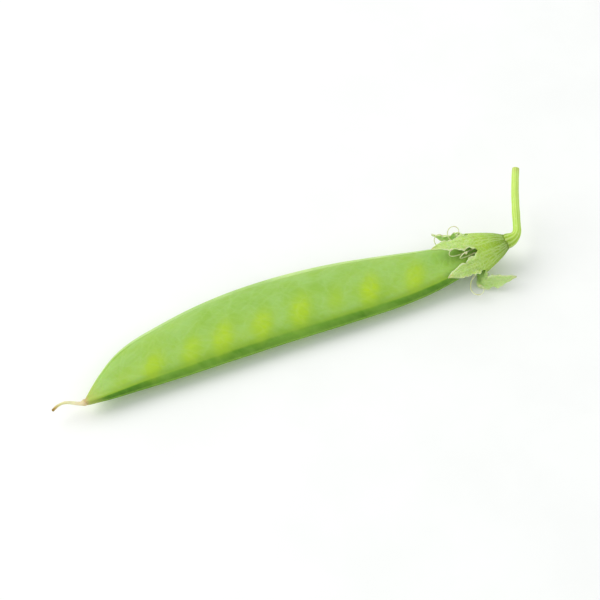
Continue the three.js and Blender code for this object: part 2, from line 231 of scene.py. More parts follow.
print("leaf green is", [round(c, 3) for c in paint("9ccb5f")[:3]])

# %% [markdown]
# ## Effects that several finishes share
# Plant skin is never one even colour, whichever part of the plant it covers: it is mottled, a fine
# net of veins shows through it, and its cells give it a grain. Painted pictures could hold all
# this, but they blur when one looks closely, and each piece would need its own. Noise worked out in
# the material is sharp at any distance. Each effect is one node group, made once, which every
# finish places with its own sizes, in metres.

# %% Stretched places, which two effects share
STRETCHED = {"Size": (FLOAT, 0.004), "Stretch": (FLOAT, 1.0), "Lean": (FLOAT, 0.0)}


def stretched_places(tree, given):
    """Places on the object, turned by Lean about Z and then drawn out along X by Stretch."""
    places = node(tree, "ShaderNodeTexCoord").outputs["Object"]
    return vectors("MULTIPLY", rotated(places, given["Lean"]), vector(tree, 1.0 / given["Stretch"], 1.0, 1.0))


print("a stretched effect has", ", ".join(STRETCHED))

# %% Mottling
mottling, given, result = new_group(
    "Mottling", "ShaderNodeTree", {**STRETCHED, "Shift": (FLOAT, 0.0)}, {"Value": FLOAT}
)
clouds = {"Vector": stretched_places(mottling, given), "W": given["Shift"], "Scale": 1.0 / given["Size"]}
clouds.update({"Detail": 3.0, "Roughness": 0.55})
cloud = node(mottling, "ShaderNodeTexNoise", clouds, noise_dimensions="4D").outputs[0]
wire(ramp(Value(cloud), 0.3, 0.7), result["Value"])
print("mottling:", len(mottling.nodes), "nodes")

# %% Net of fine veins
VEIN_SWAY = 0.0009
vein_net, given, result = new_group("Fine veins", "ShaderNodeTree", STRETCHED, {"Mask": FLOAT})
laid = stretched_places(vein_net, given)
density = 1.0 / given["Size"]
drift = node(vein_net, "ShaderNodeTexNoise", {"Vector": laid, "Scale": density, "Detail": 1.0}).outputs[1]
warped = vectors("ADD", laid, vectors("SCALE", drift, VEIN_SWAY))
cells = {"Vector": warped, "Scale": density}
edges = node(vein_net, "ShaderNodeTexVoronoi", cells, feature="DISTANCE_TO_EDGE").outputs[0]
wire(ramp(Value(edges), 0.01, 0.09, 1.0, 0.0), result["Mask"])
print("fine veins:", len(vein_net.nodes), "nodes")

# %% Grain of the skin
grain, given, result = new_group("Skin grain", "ShaderNodeTree", {"Size": (FLOAT, 0.0002)}, {"Height": FLOAT})
places = node(grain, "ShaderNodeTexCoord").outputs["Object"]
density = 1.0 / given["Size"]
cells = node(grain, "ShaderNodeTexVoronoi", {"Vector": places, "Scale": density}, feature="F1").outputs[0]
fine = node(grain, "ShaderNodeTexNoise", {"Vector": places, "Scale": density, "Detail": 2.0}).outputs[0]
wire(Value(fine) - Value(cells) * 0.6, result["Height"])
print("skin grain:", len(grain.nodes), "nodes")

# %% [markdown]
# The shader itself stays in each material, where other programs look for it, and the groups give it
# only colours and values. Plant tissue lets some light in. A plain matte colour would look like
# painted plaster, so every finish has a little subsurface light, in which green and red go further
# than blue. The skin's wax is dull, so it reflects less than plastic would.

# %% A finish's shader
LIGHT_REACH, REACH_BY_COLOUR, WAX_SHINE = 0.0012, (0.6, 1.0, 0.25), 0.26


def new_material(name):
    made = bpy.data.materials.new(name)
    made.use_nodes = True
    return made, made.node_tree


def finish(name, colour, roughness, relief, relief_depth, subsurface):
    """Wires a finish to its shader. relief_depth is in metres."""
    tree = colour.id_data
    bump = node(tree, "ShaderNodeBump", {"Strength": 1.0, "Distance": relief_depth, "Height": relief})
    shader = tree.nodes["Principled BSDF"].inputs
    wire(colour, shader["Base Color"])
    wire(bump.outputs[0], shader["Normal"])
    wire(roughness, shader["Roughness"])
    shader["Subsurface Weight"].default_value = subsurface
    shader["Subsurface Radius"].default_value = REACH_BY_COLOUR
    shader["Subsurface Scale"].default_value = LIGHT_REACH
    shader["Specular IOR Level"].default_value = WAX_SHINE
    print(f"{name}: {len(tree.nodes)} nodes")


# %% [markdown]
# ## The pod's skin
# A picked pod is a soft leaf green with a bluish bloom over it. Each pea shows through the flank
# as a yellower spot. The skin is yellower at the neck and the beak. Along the upper seam a pale line
# is a painted highlight, as if the seam's ridge caught the light. The deeper green where the flank
# rolls over to the seam that the peas hang from is partly the skin's own colour and partly painted
# shade. One could paint all this by eye. Here the mesh itself says where each of these places is,
# and a run of colours from seam to seam comes first, so the colours stay on the shape wherever it
# is looked at from.

# %% The run of colours from seam to seam
# The deep greens from 0.014 to 0.066 are partly the skin's own colour and partly painted shade, and the pale
# stops from 0.94 on are a painted highlight along the upper seam.
FLANK_STOPS_WITH_PAINTED_LIGHT = [
    (0.0, "6b9829"), (0.014, "3f7200"), (0.066, "498300"), (0.086, "8bb32a"), (0.17, "9cc139"),
    (0.35, "98be40"), (0.55, "95be47"), (0.75, "97bf48"), (0.925, "9bc147"), (0.94, "cde69a"),
    (1.0, "d6ecaa"),
]
pod_skin, tree = new_material("pod_skin")
along, across, pea = kept(tree, "along"), kept(tree, "across"), kept(tree, "pea")
flank = colours(across * 0.5 + 0.5, FLANK_STOPS_WITH_PAINTED_LIGHT)
print("from seam to seam:", len(FLANK_STOPS_WITH_PAINTED_LIGHT), "colours")

# %% Patches, streaks and bloom
flank_only = ramp(across, -0.84, -0.7)
patches = effect(tree, mottling, {"Size": 0.008, "Stretch": 1.6})
clouded = mixed(patches * 0.55, flank, "85b53c")
slanting = effect(tree, mottling, {"Size": 0.0011, "Stretch": 6.0, "Lean": 0.9, "Shift": 3.0})
streaked = mixed(slanting * 0.15, clouded, "a9cf62")
bloom = effect(tree, mottling, {"Size": 0.0034, "Stretch": 1.4, "Lean": -0.4, "Shift": 11.0})
bloomed = mixed(bloom * ramp(pea, 0.0, 0.6, 0.5, 0.0) * flank_only, streaked, "a2ca79")
print("so far:", len(tree.nodes), "nodes")

# %% Peas, ends and veins
blotches = effect(tree, mottling, {"Size": 0.0018, "Shift": 7.0}) * 0.45 + 0.6
spotted = mixed(ramp(pea, 0.0, 0.95) * blotches, bloomed, "abcc22")
necked = mixed(ramp(along, 0.86, 1.0, 0.0, 0.45), spotted, "a9d35c")
beaked = mixed(ramp(along, 0.0, 0.055, 0.75, 0.0), necked, "b6c25c")
tipped = mixed(ramp(along, -0.002, 0.01, 0.85, 0.0), beaked, "c7a878")
lined = mixed(kept(tree, "vein") * flank_only * 0.09, tipped, "badc82")
fine_net = effect(tree, vein_net, {"Size": 0.0021, "Stretch": 2.0, "Lean": 0.7}) * flank_only
netted = mixed(fine_net * 0.05, lined, "c3e096")
relief = fine_net * 0.3 + effect(tree, grain, {"Size": 0.00028})
finish("pod skin", netted, bloom * 0.12 + 0.5, relief, relief_depth=0.00003, subsurface=0.2)

# %% [markdown]
# ## The pod's outline
# A pod has two seams. The curved one is dorsal. The straighter one, which carries the peas, is
# ventral. Both could be drawn as curves, but they are measured here instead, as distances from a
# line through the beak at stations along it, in shares of the pod's width, and a natural cubic
# carries a smooth seam through the measures. Its fullness, which is how thick it is, is measured
# the same way. The length is the frame's, and the rest follows from it. The pod lifts a little
# towards both ends, as one does that rests on its flank.


# %% A smooth curve through measures
def smooth_curve(at, values):
    """A natural cubic through the points, as a function of at."""
    at, values = np.array(at, float), np.array(values, float)
    step, slope = np.diff(at), np.diff(values) / np.diff(at)
    matrix, wanted = np.eye(len(at)), np.zeros(len(at))
    for i in range(1, len(at) - 1):
        matrix[i, i - 1 : i + 2] = step[i - 1], 2 * (step[i - 1] + step[i]), step[i]
        wanted[i] = 6 * (slope[i] - slope[i - 1])
    second = np.linalg.solve(matrix, wanted)

    def curve(x):
        i = np.clip(np.searchsorted(at, x) - 1, 0, len(at) - 2)
        a, b = (at[i + 1] - x) / step[i], (x - at[i]) / step[i]
        bent = (a**3 - a) * second[i] + (b**3 - b) * second[i + 1]
        return a * values[i] + b * values[i + 1] + bent * step[i] ** 2 / 6

    return curve


print("halfway up a smooth step:", round(float(smooth_curve([0, 1, 2], [0, 0.5, 1])(0.5)), 3))

# %% Seams and fullness
beak_corner, neck_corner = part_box("pod")
POD_LENGTH, BEAK_X = (neck_corner - beak_corner).x / MM, beak_corner.x / MM
POD_WIDTH = POD_LENGTH * 2 / 11
POD_THICKNESS, GAP = 0.3 * POD_WIDTH, 0.3
BEAK_Y, REST_Z = -0.32 * POD_WIDTH, 2.5
BEAK_LIFT, BEAK_LIFT_UNTIL, NECK_LIFT, NECK_LIFT_FROM = 0.9, 0.25, 3.5, 0.7
ROLL, TWIST = -2.4, 1.0
STATIONS = [0, 0.03, 0.1, 0.2, 0.3, 0.42, 0.57, 0.72, 0.83, 0.9, 0.95, 1]
DORSAL = [0.04, 0.218, 0.54, 0.74, 0.85, 0.9, 0.86, 0.715, 0.545, 0.4, 0.265, 0.17]
VENTRAL = [-0.034, -0.056, -0.068, -0.08, -0.09, -0.1, -0.125, -0.14, -0.115, -0.06, -0.002, 0.08]
FULLNESS_AT = [0, 0.03, 0.1, 0.2, 0.32, 0.5, 0.7, 0.83, 0.92, 1]
FULLNESS = [0.24, 0.42, 0.68, 0.88, 0.97, 1, 0.95, 0.82, 0.65, 0.27]
dorsal_seam, ventral_seam = smooth_curve(STATIONS, DORSAL), smooth_curve(STATIONS, VENTRAL)
fullness = smooth_curve(FULLNESS_AT, FULLNESS)
print("the pod is", round(POD_LENGTH, 1), "mm long and", round(POD_THICKNESS, 1), "mm thick")


# %% The section at any place
def section(f):
    """The middle, half width, half height and roll of the pod at a share f of its length."""
    dorsal, ventral = dorsal_seam(f) * POD_WIDTH, ventral_seam(f) * POD_WIDTH
    near_beak = np.maximum(0, 1 - f / BEAK_LIFT_UNTIL)
    near_neck = np.maximum(0, (f - NECK_LIFT_FROM) / (1 - NECK_LIFT_FROM))
    z = REST_Z + BEAK_LIFT * near_beak**2 + NECK_LIFT * near_neck**2
    middle = np.stack([BEAK_X + f * POD_LENGTH, BEAK_Y + (dorsal + ventral) / 2, z], -1)
    roll = np.radians(ROLL + TWIST * (f - 0.5))
    return middle, (dorsal - ventral) / 2, fullness(f) * POD_THICKNESS / 2, roll


widths = [round(2 * float(section(f)[1]), 1) for f in (0.1, 0.5, 0.9)]
print("the pod is", widths, "mm wide near its beak, at its middle and near its neck")

# %% [markdown]
# ## The pod's midline
# The pod's shape follows a rule, so Geometry Nodes make it: they sweep a ring along the pod's
# midline, and the rule then puts each point of the ring on the skin. The midline carries the
# measures of the section at each of its points. The points crowd together towards the beak and the
# neck, where the shape changes fastest, and past both ends the sections shrink to a rounded end.


# %% Lines that keep measures
def new_object(name, points, edges, faces, fields):
    """An object from points in millimetres, with fields of numbers kept on its points."""
    mesh = bpy.data.meshes.new(name)
    mesh.from_pydata((np.asarray(points) * MM).tolist(), edges, faces)
    for field, values in fields.items():
        mesh.attributes.new(field, "FLOAT", "POINT").data.foreach_set("value", np.ravel(values))
    made = bpy.data.objects.new(name, mesh)
    bpy.context.scene.collection.objects.link(made)
    return made


def line_object(name, lines, fields=None):
    """An object that is only edges, along lines of points in millimetres."""
    points = np.concatenate(lines)
    ends = set(np.cumsum([len(line) for line in lines]).tolist())
    edges = [(i, i + 1) for i in range(len(points) - 1) if i + 1 not in ends]
    fields = {field: np.concatenate(values) for field, values in (fields or {}).items()}
    return new_object(name, points, edges, [], fields)


def measures(f, shrink=1.0):
    """What the rule has to know at a share f of the pod's length, in metres and radians."""
    _, half_width, half_height, roll = section(f)
    sizes = {"half_width": half_width * shrink * MM, "half_height": half_height * shrink * MM}
    return {**sizes, "roll": roll, "along": f}


print("each point of the midline keeps its", ", ".join(measures(0.5)))

# %% The midline
RINGS, CROWDING = 500, 0.55
END_RINGS, BEAK_END, NECK_END = 6, 0.28, 0.4


def midline_object():
    even = np.linspace(0, 1, RINGS + 1)
    crowded = even - CROWDING * np.sin(2 * math.pi * even) / (2 * math.pi)
    bend = np.linspace(0, math.pi / 2, END_RINGS + 1)[1:-1]
    f = np.concatenate([0 * bend, crowded, 0 * bend + 1])
    shrink = np.concatenate([np.cos(bend)[::-1], 0 * even + 1, np.cos(bend)])
    past_end = np.concatenate([-BEAK_END * np.sin(bend)[::-1], 0 * even, NECK_END * np.sin(bend)])
    places = section(f)[0] + past_end[:, None] * np.array([1.0, 0, 0])
    return line_object("pod_shell", [places], {name: [v] for name, v in measures(f, shrink).items()})


pod = midline_object()
print("the midline has", len(pod.data.vertices), "points")

# %% [markdown]
# ## The hills over the peas
# Each pea lifts the flank in a low round swelling, and shows through it as a spot. Both are the same
# kind of hill, a bell in every direction, so one group makes them for all the peas and is placed
# twice: wide for the swellings, narrow and leaning for the spots.

# %% Where the peas lie
PEAS_AT = [0.16, 0.249, 0.323, 0.418, 0.51, 0.594, 0.676, 0.784]
PEA_ROWS = [0.06, 0.085, 0.105, 0.125, 0.132, 0.128, 0.11, 0.085]
PEA_STRENGTHS = [0.85, 0.8, 1.0, 0.85, 1.0, 0.45, 0.95, 0.8]
print(len(PEAS_AT), "peas, the strongest", max(PEA_STRENGTHS), "and the weakest", min(PEA_STRENGTHS))


# %% A group that raises a hill over each pea
def bell(value, width):
    """1 where value is nothing, and falling off smoothly to either side within about width."""
    share = value / width
    return maths("EXPONENT", share * share * -1.0)


def pea_hills():
    sizes = {"Length": (FLOAT, 0.003), "Width": (FLOAT, 0.003), "Lean": (FLOAT, 0.0)}
    sockets = {"Place": (VECTOR, None), **sizes}
    tree, given, result = new_group("Pea hills", "GeometryNodeTree", sockets, {"Height": FLOAT})
    scale = vector(tree, 1.0 / given["Length"], 1.0 / given["Width"], 0.0)
    total = 0.0
    for at, row, strength in zip(PEAS_AT, PEA_ROWS, PEA_STRENGTHS):
        pea_place = Vector((BEAK_X + at * POD_LENGTH, BEAK_Y + row * POD_WIDTH, 0)) * MM
        off = vectors("SUBTRACT", given["Place"].socket, pea_place)
        shares = vectors("MULTIPLY", rotated(off, given["Lean"]), scale)
        far = node(tree, "ShaderNodeVectorMath", {0: shares}, operation="LENGTH").outputs["Value"]
        total = bell(Value(far), math.sqrt(2)) * strength + total
    wire(total, result["Height"])
    return tree


hills = pea_hills()
print("hills over the peas:", len(hills.nodes), "nodes")

# %% [markdown]
# ## The rule of the pod's section
# In section a pod is a lens. Along each seam runs a cord with a fine groove, and inside the cord the
# skin dips before the flank begins. The flank rolls over to the ventral seam more firmly than to the
# dorsal one. Sculpting could do this too, but a rule is exact at any fineness of the mesh, and each
# of its numbers means something that can be measured on a pod.

# %% How high the skin stands
SEAM_BLEND, DIP_INSIDE, DIP_WIDTH, GROOVE_WIDTH = 3.0, 1.15 * MM, 0.3 * MM, 0.16 * MM
SECTION_SIZES = {
    "Ventral Firmness": (FLOAT, 2.9), "Dorsal Firmness": (FLOAT, 1.6), "Seam Radius": (FLOAT, 0.0005),
    "Seam Groove": (FLOAT, 0.0001), "Seam Dip": (FLOAT, 0.0001), "Pea Swelling": (FLOAT, 0.0005),
}


def named(tree, name, data_type="FLOAT"):
    """What the points keep under this name."""
    made = node(tree, "GeometryNodeInputNamedAttribute", {"Name": name}, data_type=data_type).outputs[0]
    return Value(made) if data_type == "FLOAT" else made


def broad(half_width):
    """1 where the pod is broad enough for dips and grooves beside its seams."""
    return ramp(half_width, 1.0 * MM, 3.0 * MM)


def flank_height(tree, given, across, half_width, hill):
    """How far the skin stands off the middle plane, at across from -1 to 1."""
    to_seam = maths("ABSOLUTE", across)
    firmness = ramp(across, -0.01, 0.01, given["Ventral Firmness"], given["Dorsal Firmness"])
    lens = maths("COSINE", to_seam**firmness * (math.pi / 2)) * named(tree, "half_height")
    inside = (1.0 - to_seam) * half_width
    radius = maths("MINIMUM", given["Seam Radius"], half_width * 0.5)
    cord = maths("SQRT", maths("MAXIMUM", radius**2.0 - (radius - inside) ** 2.0, 0.0))
    skin = (maths("MAXIMUM", lens, 0.0) ** SEAM_BLEND + cord**SEAM_BLEND) ** (1 / SEAM_BLEND)
    swelling = hill * given["Pea Swelling"] * (1.0 - to_seam**4.0)
    return skin + swelling - bell(inside - DIP_INSIDE, DIP_WIDTH) * given["Seam Dip"] * broad(half_width)


print("the section has", len(SECTION_SIZES), "sizes that can be set")

# %% From a turn to a place on the skin
SWELLING_SIZE = {"Length": 2.5 * MM, "Width": 2.6 * MM}
SPOT_SIZE = {"Length": 1.46 * MM, "Width": 3.4 * MM, "Lean": 0.474}


def pod_section():
    """A group that gives a place on the skin from the turn and the measures of a point."""
    outputs = {"Position": VECTOR, "Across": FLOAT, "Pea Spot": FLOAT}
    tree, given, result = new_group("Pod section", "GeometryNodeTree", SECTION_SIZES, outputs)
    turn, half_width = named(tree, "turn"), named(tree, "half_width")
    middle = named(tree, "middle", "FLOAT_VECTOR")
    across = maths("COSINE", turn) * -1.0
    sideways = across * half_width
    flat_place = vectors("ADD", middle, vector(tree, 0.0, sideways, 0.0))
    swelling, spot = (
        Value(node(tree, "GeometryNodeGroup", {"Place": flat_place, **size}, node_tree=hills).outputs[0])
        for size in (SWELLING_SIZE, SPOT_SIZE)
    )
    height = flank_height(tree, given, across, half_width, swelling)
    groove = bell(height, GROOVE_WIDTH) * given["Seam Groove"] * broad(half_width)
    sideways = sideways - maths("SIGN", across) * groove
    upward = maths("SIGN", maths("SINE", turn)) * height
    offset = rotated(vector(tree, 0.0, sideways, upward), named(tree, "roll"), "X_AXIS")
    wire(vectors("MAXIMUM", vectors("ADD", middle, offset), (-1.0, -1.0, 0.0)), result["Position"])
    wire(across, result["Across"])
    wire(maths("MINIMUM", spot, 1.0) * (1.0 - across**4.0), result["Pea Spot"])
    return tree


section_rule = pod_section()
print("the section's rule:", len(section_rule.nodes), "nodes")

# %% [markdown]
# ## The pod's veins
# Veins leave both seams at a slant, wander over the flank and fork. Each is a walk over the skin,
# but it is walked on a flat map: how far along the pod, and how far across. The same rule that makes
# the skin then puts the vein exactly on it.

# %% Veins walked on a map of the skin
VEIN_SPACING, VEIN_STEP, FIRST_SLANT, SLANT_CHANGE = 0.034, 0.42, 0.75, 0.16
VEIN_STEPS, FORK_STEPS, FORK_AT, FORK_SLANTS, FORK_CHANCE = 30, 12, (7, 15), (-0.7, 0.6), 0.7
STARTS_AT, START_DRIFT, SEAM_SIDE, PAST_MIDDLE, NARROWEST = (0.05, 0.97), 0.008, 0.93, 0.45, 1.5


def pod_veins(seed):
    """Veins from both seams of both flanks, each a list of places on the map."""
    draw = np.random.default_rng(seed)
    veins = []
    for flank in (1, -1):
        for seam in (1, -1):
            starts = np.arange(*STARTS_AT, VEIN_SPACING)
            for f in starts + draw.uniform(-START_DRIFT, START_DRIFT, len(starts)):
                grow_vein(veins, draw, f, seam * SEAM_SIDE, flank, seam, FIRST_SLANT, VEIN_STEPS)
    return veins


def grow_vein(veins, draw, f, v, flank, seam, slant, steps):
    """Adds one vein to veins: it runs inwards from a seam and towards the beak, and may fork."""
    path = []
    for step in range(steps):
        path.append((f, v))
        slant += draw.uniform(-SLANT_CHANGE, SLANT_CHANGE)
        width = float(section(np.clip(f, 0, 1))[1])
        f -= VEIN_STEP * math.sin(slant) / POD_LENGTH
        v -= seam * VEIN_STEP * math.cos(slant) / max(width, NARROWEST)
        if not 0.02 < f < 0.98 or v * seam < -PAST_MIDDLE:
            break
        if steps == VEIN_STEPS and step in FORK_AT and draw.random() < FORK_CHANCE:
            fork = slant + draw.choice(FORK_SLANTS)
            grow_vein(veins, draw, f, v, flank, seam, fork, FORK_STEPS)
    if len(path) > 3:
        f, v = np.array(path).T
        veins.append((f, flank * np.arccos(np.clip(-v, -1, 1))))


print("a vein takes up to", VEIN_STEPS, "steps of", VEIN_STEP, "mm")

# %% The veins' lines
veins = pod_veins(seed=4)
fields = {name: [measures(f)[name] for f, _ in veins] for name in measures(veins[0][0])}
fields["turn"] = [turn for _, turn in veins]
pod_vein_lines = line_object("pod_vein_lines", [section(f)[0] for f, _ in veins], fields)
print(len(veins), "veins on the pod")

# %% [markdown]
# ## The pod's tree
# The tree sweeps a ring along the midline, which gives a tube. Then the rule moves every point of
# the tube, and every point of the veins' lines too. Last, the skin rises a little wherever a vein
# runs under it, and is made slightly uneven.


# %% Keeping and moving points inside a tree
def tree_of(socket):
    return getattr(socket, "socket", socket).id_data


def stored(geometry, name, value, data_type="FLOAT"):
    """The geometry with a value kept on its points under this name."""
    inputs = {"Geometry": geometry, "Name": name, "Value": value}
    kind = "GeometryNodeStoreNamedAttribute"
    return node(tree_of(geometry), kind, inputs, data_type=data_type, domain="POINT").outputs[0]


def placed(geometry, position):
    """The geometry with its points put at new places."""
    inputs = {"Geometry": geometry, "Position": position}
    return node(tree_of(geometry), "GeometryNodeSetPosition", inputs).outputs[0]


def raised(geometry, height):
    """The geometry with its points moved along their normals."""
    tree = tree_of(geometry)
    normal = node(tree, "GeometryNodeInputNormal").outputs[0]
    inputs = {"Geometry": geometry, "Offset": vectors("SCALE", normal, height)}
    return node(tree, "GeometryNodeSetPosition", inputs).outputs[0]


print("points inside a tree can be", stored.__name__, placed.__name__, "and", raised.__name__)


# %% How a tree begins and ends
def new_tree(name, sizes):
    """A tree from a shape to a shape, with these sizes and a finish."""
    shape, stuff = "NodeSocketGeometry", "NodeSocketMaterial"
    sockets = {"Geometry": (shape, None), **sizes, "Finish": (stuff, None)}
    return new_group(name, "GeometryNodeTree", sockets, {"Geometry": shape})


def end_tree(geometry, given, result):
    """Ends a tree: instances become mesh, and the mesh gets its finish."""
    tree = tree_of(geometry)
    real = node(tree, "GeometryNodeRealizeInstances", {"Geometry": geometry}).outputs[0]
    finished = node(tree, "GeometryNodeSetMaterial", {"Geometry": real, "Material": given["Finish"]})
    wire(finished.outputs[0], result["Geometry"])
    print(f"{tree.name}: {len(tree.nodes)} nodes")
    return tree


print("a tree begins with", new_tree.__name__, "and ends with", end_tree.__name__)

# %% Skin that is never quite even
UNEVEN = {"Unevenness": (FLOAT, 0.0001), "Unevenness Size": (FLOAT, 0.01)}


def unevenness(tree, given):
    """A height that wanders to either side of nothing, as grown skin does."""
    noise = {"Scale": 1.0 / given["Unevenness Size"], "Detail": 2.0}
    cloud = Value(node(tree, "ShaderNodeTexNoise", noise).outputs[0])
    return (cloud - 0.5) * given["Unevenness"]


print("uneven skin takes", " and ".join(UNEVEN))


# %% Rings and veins
def turned_circle(tree, sides, radius):
    """A ring whose points know their turn, from 0 round to a full turn."""
    ring = node(tree, "GeometryNodeCurvePrimitiveCircle", {"Resolution": sides, "Radius": radius}).outputs[0]
    index = Value(node(tree, "GeometryNodeInputIndex").outputs[0])
    return stored(ring, "turn", index * (2 * math.pi) / sides)


def with_veins(tree, skin, lines, given):
    """Skin with a mask called vein near the lines, and the height of the veins."""
    near = node(tree, "GeometryNodeProximity", {"Geometry": lines}, target_element="EDGES")
    vein = ramp(Value(near.outputs["Distance"]), 0.0, given["Vein Width"], 1.0, 0.0)
    return stored(skin, "vein", vein), named(tree, "vein") * given["Vein Height"]


print("rings and veins:", turned_circle.__name__, with_veins.__name__)

# %% The pod's own tree
CALM_ENDS, CALM_SEAMS, CALM_TABLE = 0.03, 0.05, 0.3 * MM


def calm(tree):
    """1 on the open skin, and falling to 0 at the ends, the seams and the table."""
    along, place = named(tree, "along"), node(tree, "GeometryNodeInputPosition").outputs[0]
    to_end = maths("MINIMUM", along, 1.0 - along)
    to_seam = 1.0 - maths("ABSOLUTE", named(tree, "across"))
    to_table = Value(node(tree, "ShaderNodeSeparateXYZ", {0: place}).outputs["Z"])
    return ramp(to_end, 0.0, CALM_ENDS) * ramp(to_seam, 0.0, CALM_SEAMS) * ramp(to_table, 0.0, CALM_TABLE)


def grown_pod():
    veins_and_skin = {"Vein Width": (FLOAT, 0.0004), "Vein Height": (FLOAT, 0.00004), **UNEVEN}
    lines_socket = {"Vein Lines": ("NodeSocketObject", None), "Sides": (WHOLE, 184)}
    tree, given, result = new_tree("Pea pod", {**lines_socket, **SECTION_SIZES, **veins_and_skin})
    place = node(tree, "GeometryNodeInputPosition").outputs[0]
    midline = stored(given["Geometry"], "middle", place, "FLOAT_VECTOR")
    curve = node(tree, "GeometryNodeMeshToCurve", {0: midline}).outputs[0]
    ring = turned_circle(tree, given["Sides"], 1.0 * MM)
    sweep = {"Curve": curve, "Profile Curve": ring, "Fill Caps": True}
    tube = node(tree, "GeometryNodeCurveToMesh", sweep).outputs[0]
    lines = node(tree, "GeometryNodeObjectInfo", {"Object": given["Vein Lines"]}).outputs["Geometry"]
    lines = stored(lines, "middle", place, "FLOAT_VECTOR")
    sizes = {name: given[name] for name in SECTION_SIZES}
    rule = node(tree, "GeometryNodeGroup", sizes, node_tree=section_rule).outputs
    tube = stored(stored(tube, "across", Value(rule["Across"])), "pea", Value(rule["Pea Spot"]))
    skin, lines = placed(tube, rule["Position"]), placed(lines, rule["Position"])
    skin, height = with_veins(tree, skin, lines, given)
    height = (height + unevenness(tree, given)) * calm(tree)
    return end_tree(raised(skin, height), given, result)


pod_tree = grown_pod()

# %% [markdown]
# ## Running a tree of Geometry Nodes
# A tree makes its mesh anew each time the scene changes. Here the result is wanted once, as a plain
# mesh that any program can read: the tree is run as a modifier, its result copied, and the modifier
# taken off again. A modifier's inputs are set by each socket's identifier, since two sockets may
# share a name.


# %% Closing a shell
def close_shell(thing):
    """Merges doubled points, turns all faces outwards and reports on the shell."""
    shell = bmesh.new()
    shell.from_mesh(thing.data)
    bmesh.ops.remove_doubles(shell, verts=shell.verts, dist=1e-8)
    bmesh.ops.recalc_face_normals(shell, faces=shell.faces)
    if shell.calc_volume(signed=True) < 0:
        bmesh.ops.reverse_faces(shell, faces=shell.faces)
    open_edges = sum(not edge.is_manifold for edge in shell.edges)
    volume = shell.calc_volume() / MM**3
    triangles = sum(len(face.verts) - 2 for face in shell.faces)
    print(f"{thing.name}: {triangles} triangles, {volume:.1f} cubic mm, {open_edges} open edges")
    shell.to_mesh(thing.data)
    shell.free()
    thing.data.shade_smooth()


# %% Running a tree once
def run_tree(thing, tree, values):
    """Runs a tree on an object and keeps the result as the object's plain mesh."""
    sockets = {s.name: s.identifier for s in tree.interface.items_tree if s.in_out == "INPUT"}
    modifier = thing.modifiers.new(tree.name, "NODES")
    modifier.node_group = tree
    for name, value in values.items():
        modifier[sockets[name]] = value
    bpy.context.view_layer.update()
    evaluated = thing.evaluated_get(bpy.context.evaluated_depsgraph_get())
    made = bpy.data.meshes.new_from_object(evaluated)
    thing.modifiers.remove(modifier)
    thing.data = made
    made.name = thing.name
    close_shell(thing)


# %% The pod
run_tree(pod, pod_tree, {
    "Vein Lines": pod_vein_lines, "Sides": 184, "Vein Width": 0.4 * MM, "Vein Height": 0.04 * MM,
    "Unevenness": 0.35 * MM, "Unevenness Size": 9 * MM, "Finish": pod_skin,
})
bpy.data.objects.remove(pod_vein_lines)

# %% [markdown]
# ## The calyx
# The calyx is a thin green cup round the pod's neck, drawn out into five pointed lobes. It is a
# leaf, so it could be one flat sheet given a thickness by a Solidify modifier. But its floor is
# three times as thick as its lobes, and a leaf's edge is round, so both of its faces are set off
# from a middle surface here. The cup's axis runs from the pod's neck towards its shoulder.


# %% Directions and turns
def unit(v):
    return v / np.linalg.norm(v, axis=-1, keepdims=True)


def turned(v, axis, angle):
    """v turned about a unit axis, in radians."""
    v = np.asarray(v, float)
    along = (v @ axis)[..., None] * axis
    return along + (v - along) * math.cos(angle) + np.cross(axis, v) * math.sin(angle)


print("a quarter turn of X about Z:", turned((1, 0, 0), np.array([0, 0, 1.0]), math.pi / 2).round(3))

# %% The cup's place
neck = section(np.array(1.0))[0]
ahead = unit(section(np.array(0.9))[0] - neck)
dorsal = unit(np.array([0, 1.0, 0]) - ahead * ahead[1])
upper = np.cross(dorsal, ahead)
CUP_HALF_WIDTH, CUP_HALF_HEIGHT = 4.25, 3.45


def around(turn, a, b):
    """Points on an ellipse round the axis. turn is 0 at the dorsal side."""
    return np.cos(turn)[..., None] * a * dorsal + np.sin(turn)[..., None] * b * upper


def outward(turn):
    return unit(around(turn, 1 / CUP_HALF_WIDTH, 1 / CUP_HALF_HEIGHT))


print("the cup's axis points", ahead.round(2))

# %% The cup's wall
CUP_DEPTH, CUP_BULGE, FLOOR_SHARE, FLOOR_THICKNESS, SEPAL_THICKNESS = 6.4, 1.7, 0.3, 0.95, 0.3


def cup_wall(s):
    """At a share s of the rim's width: the way come along the axis, and the normal's two parts."""
    slope = CUP_DEPTH * CUP_BULGE * s ** (CUP_BULGE - 1)
    scale = np.hypot(slope, CUP_HALF_WIDTH)
    return CUP_DEPTH * s**CUP_BULGE, slope / scale, -CUP_HALF_WIDTH / scale


floor_along, _, floor_back = cup_wall(FLOOR_SHARE)
floor_out = floor_along + floor_back * FLOOR_THICKNESS / 2
floor_in = floor_along - floor_back * FLOOR_THICKNESS / 2
cup_foot = neck - ahead * (2 * GAP + floor_in)


def rim(turn):
    return cup_foot + ahead * CUP_DEPTH + around(turn, CUP_HALF_WIDTH, CUP_HALF_HEIGHT)


print("the cup's foot is at", cup_foot.round(2))

# %% [markdown]
# Each lobe sets out along the cup's wall, narrows into the notches beside it and runs out to a
# point. It leans and curls by its own amounts, in degrees, towards its own side of the cup, and one
# is folded right back. A real lobe has grown unevenly, so its margins are ruffled and frilled, its
# face is crumpled and its outline is ragged. These are sums of sines rather than noise, because
# they have to run with the margin.


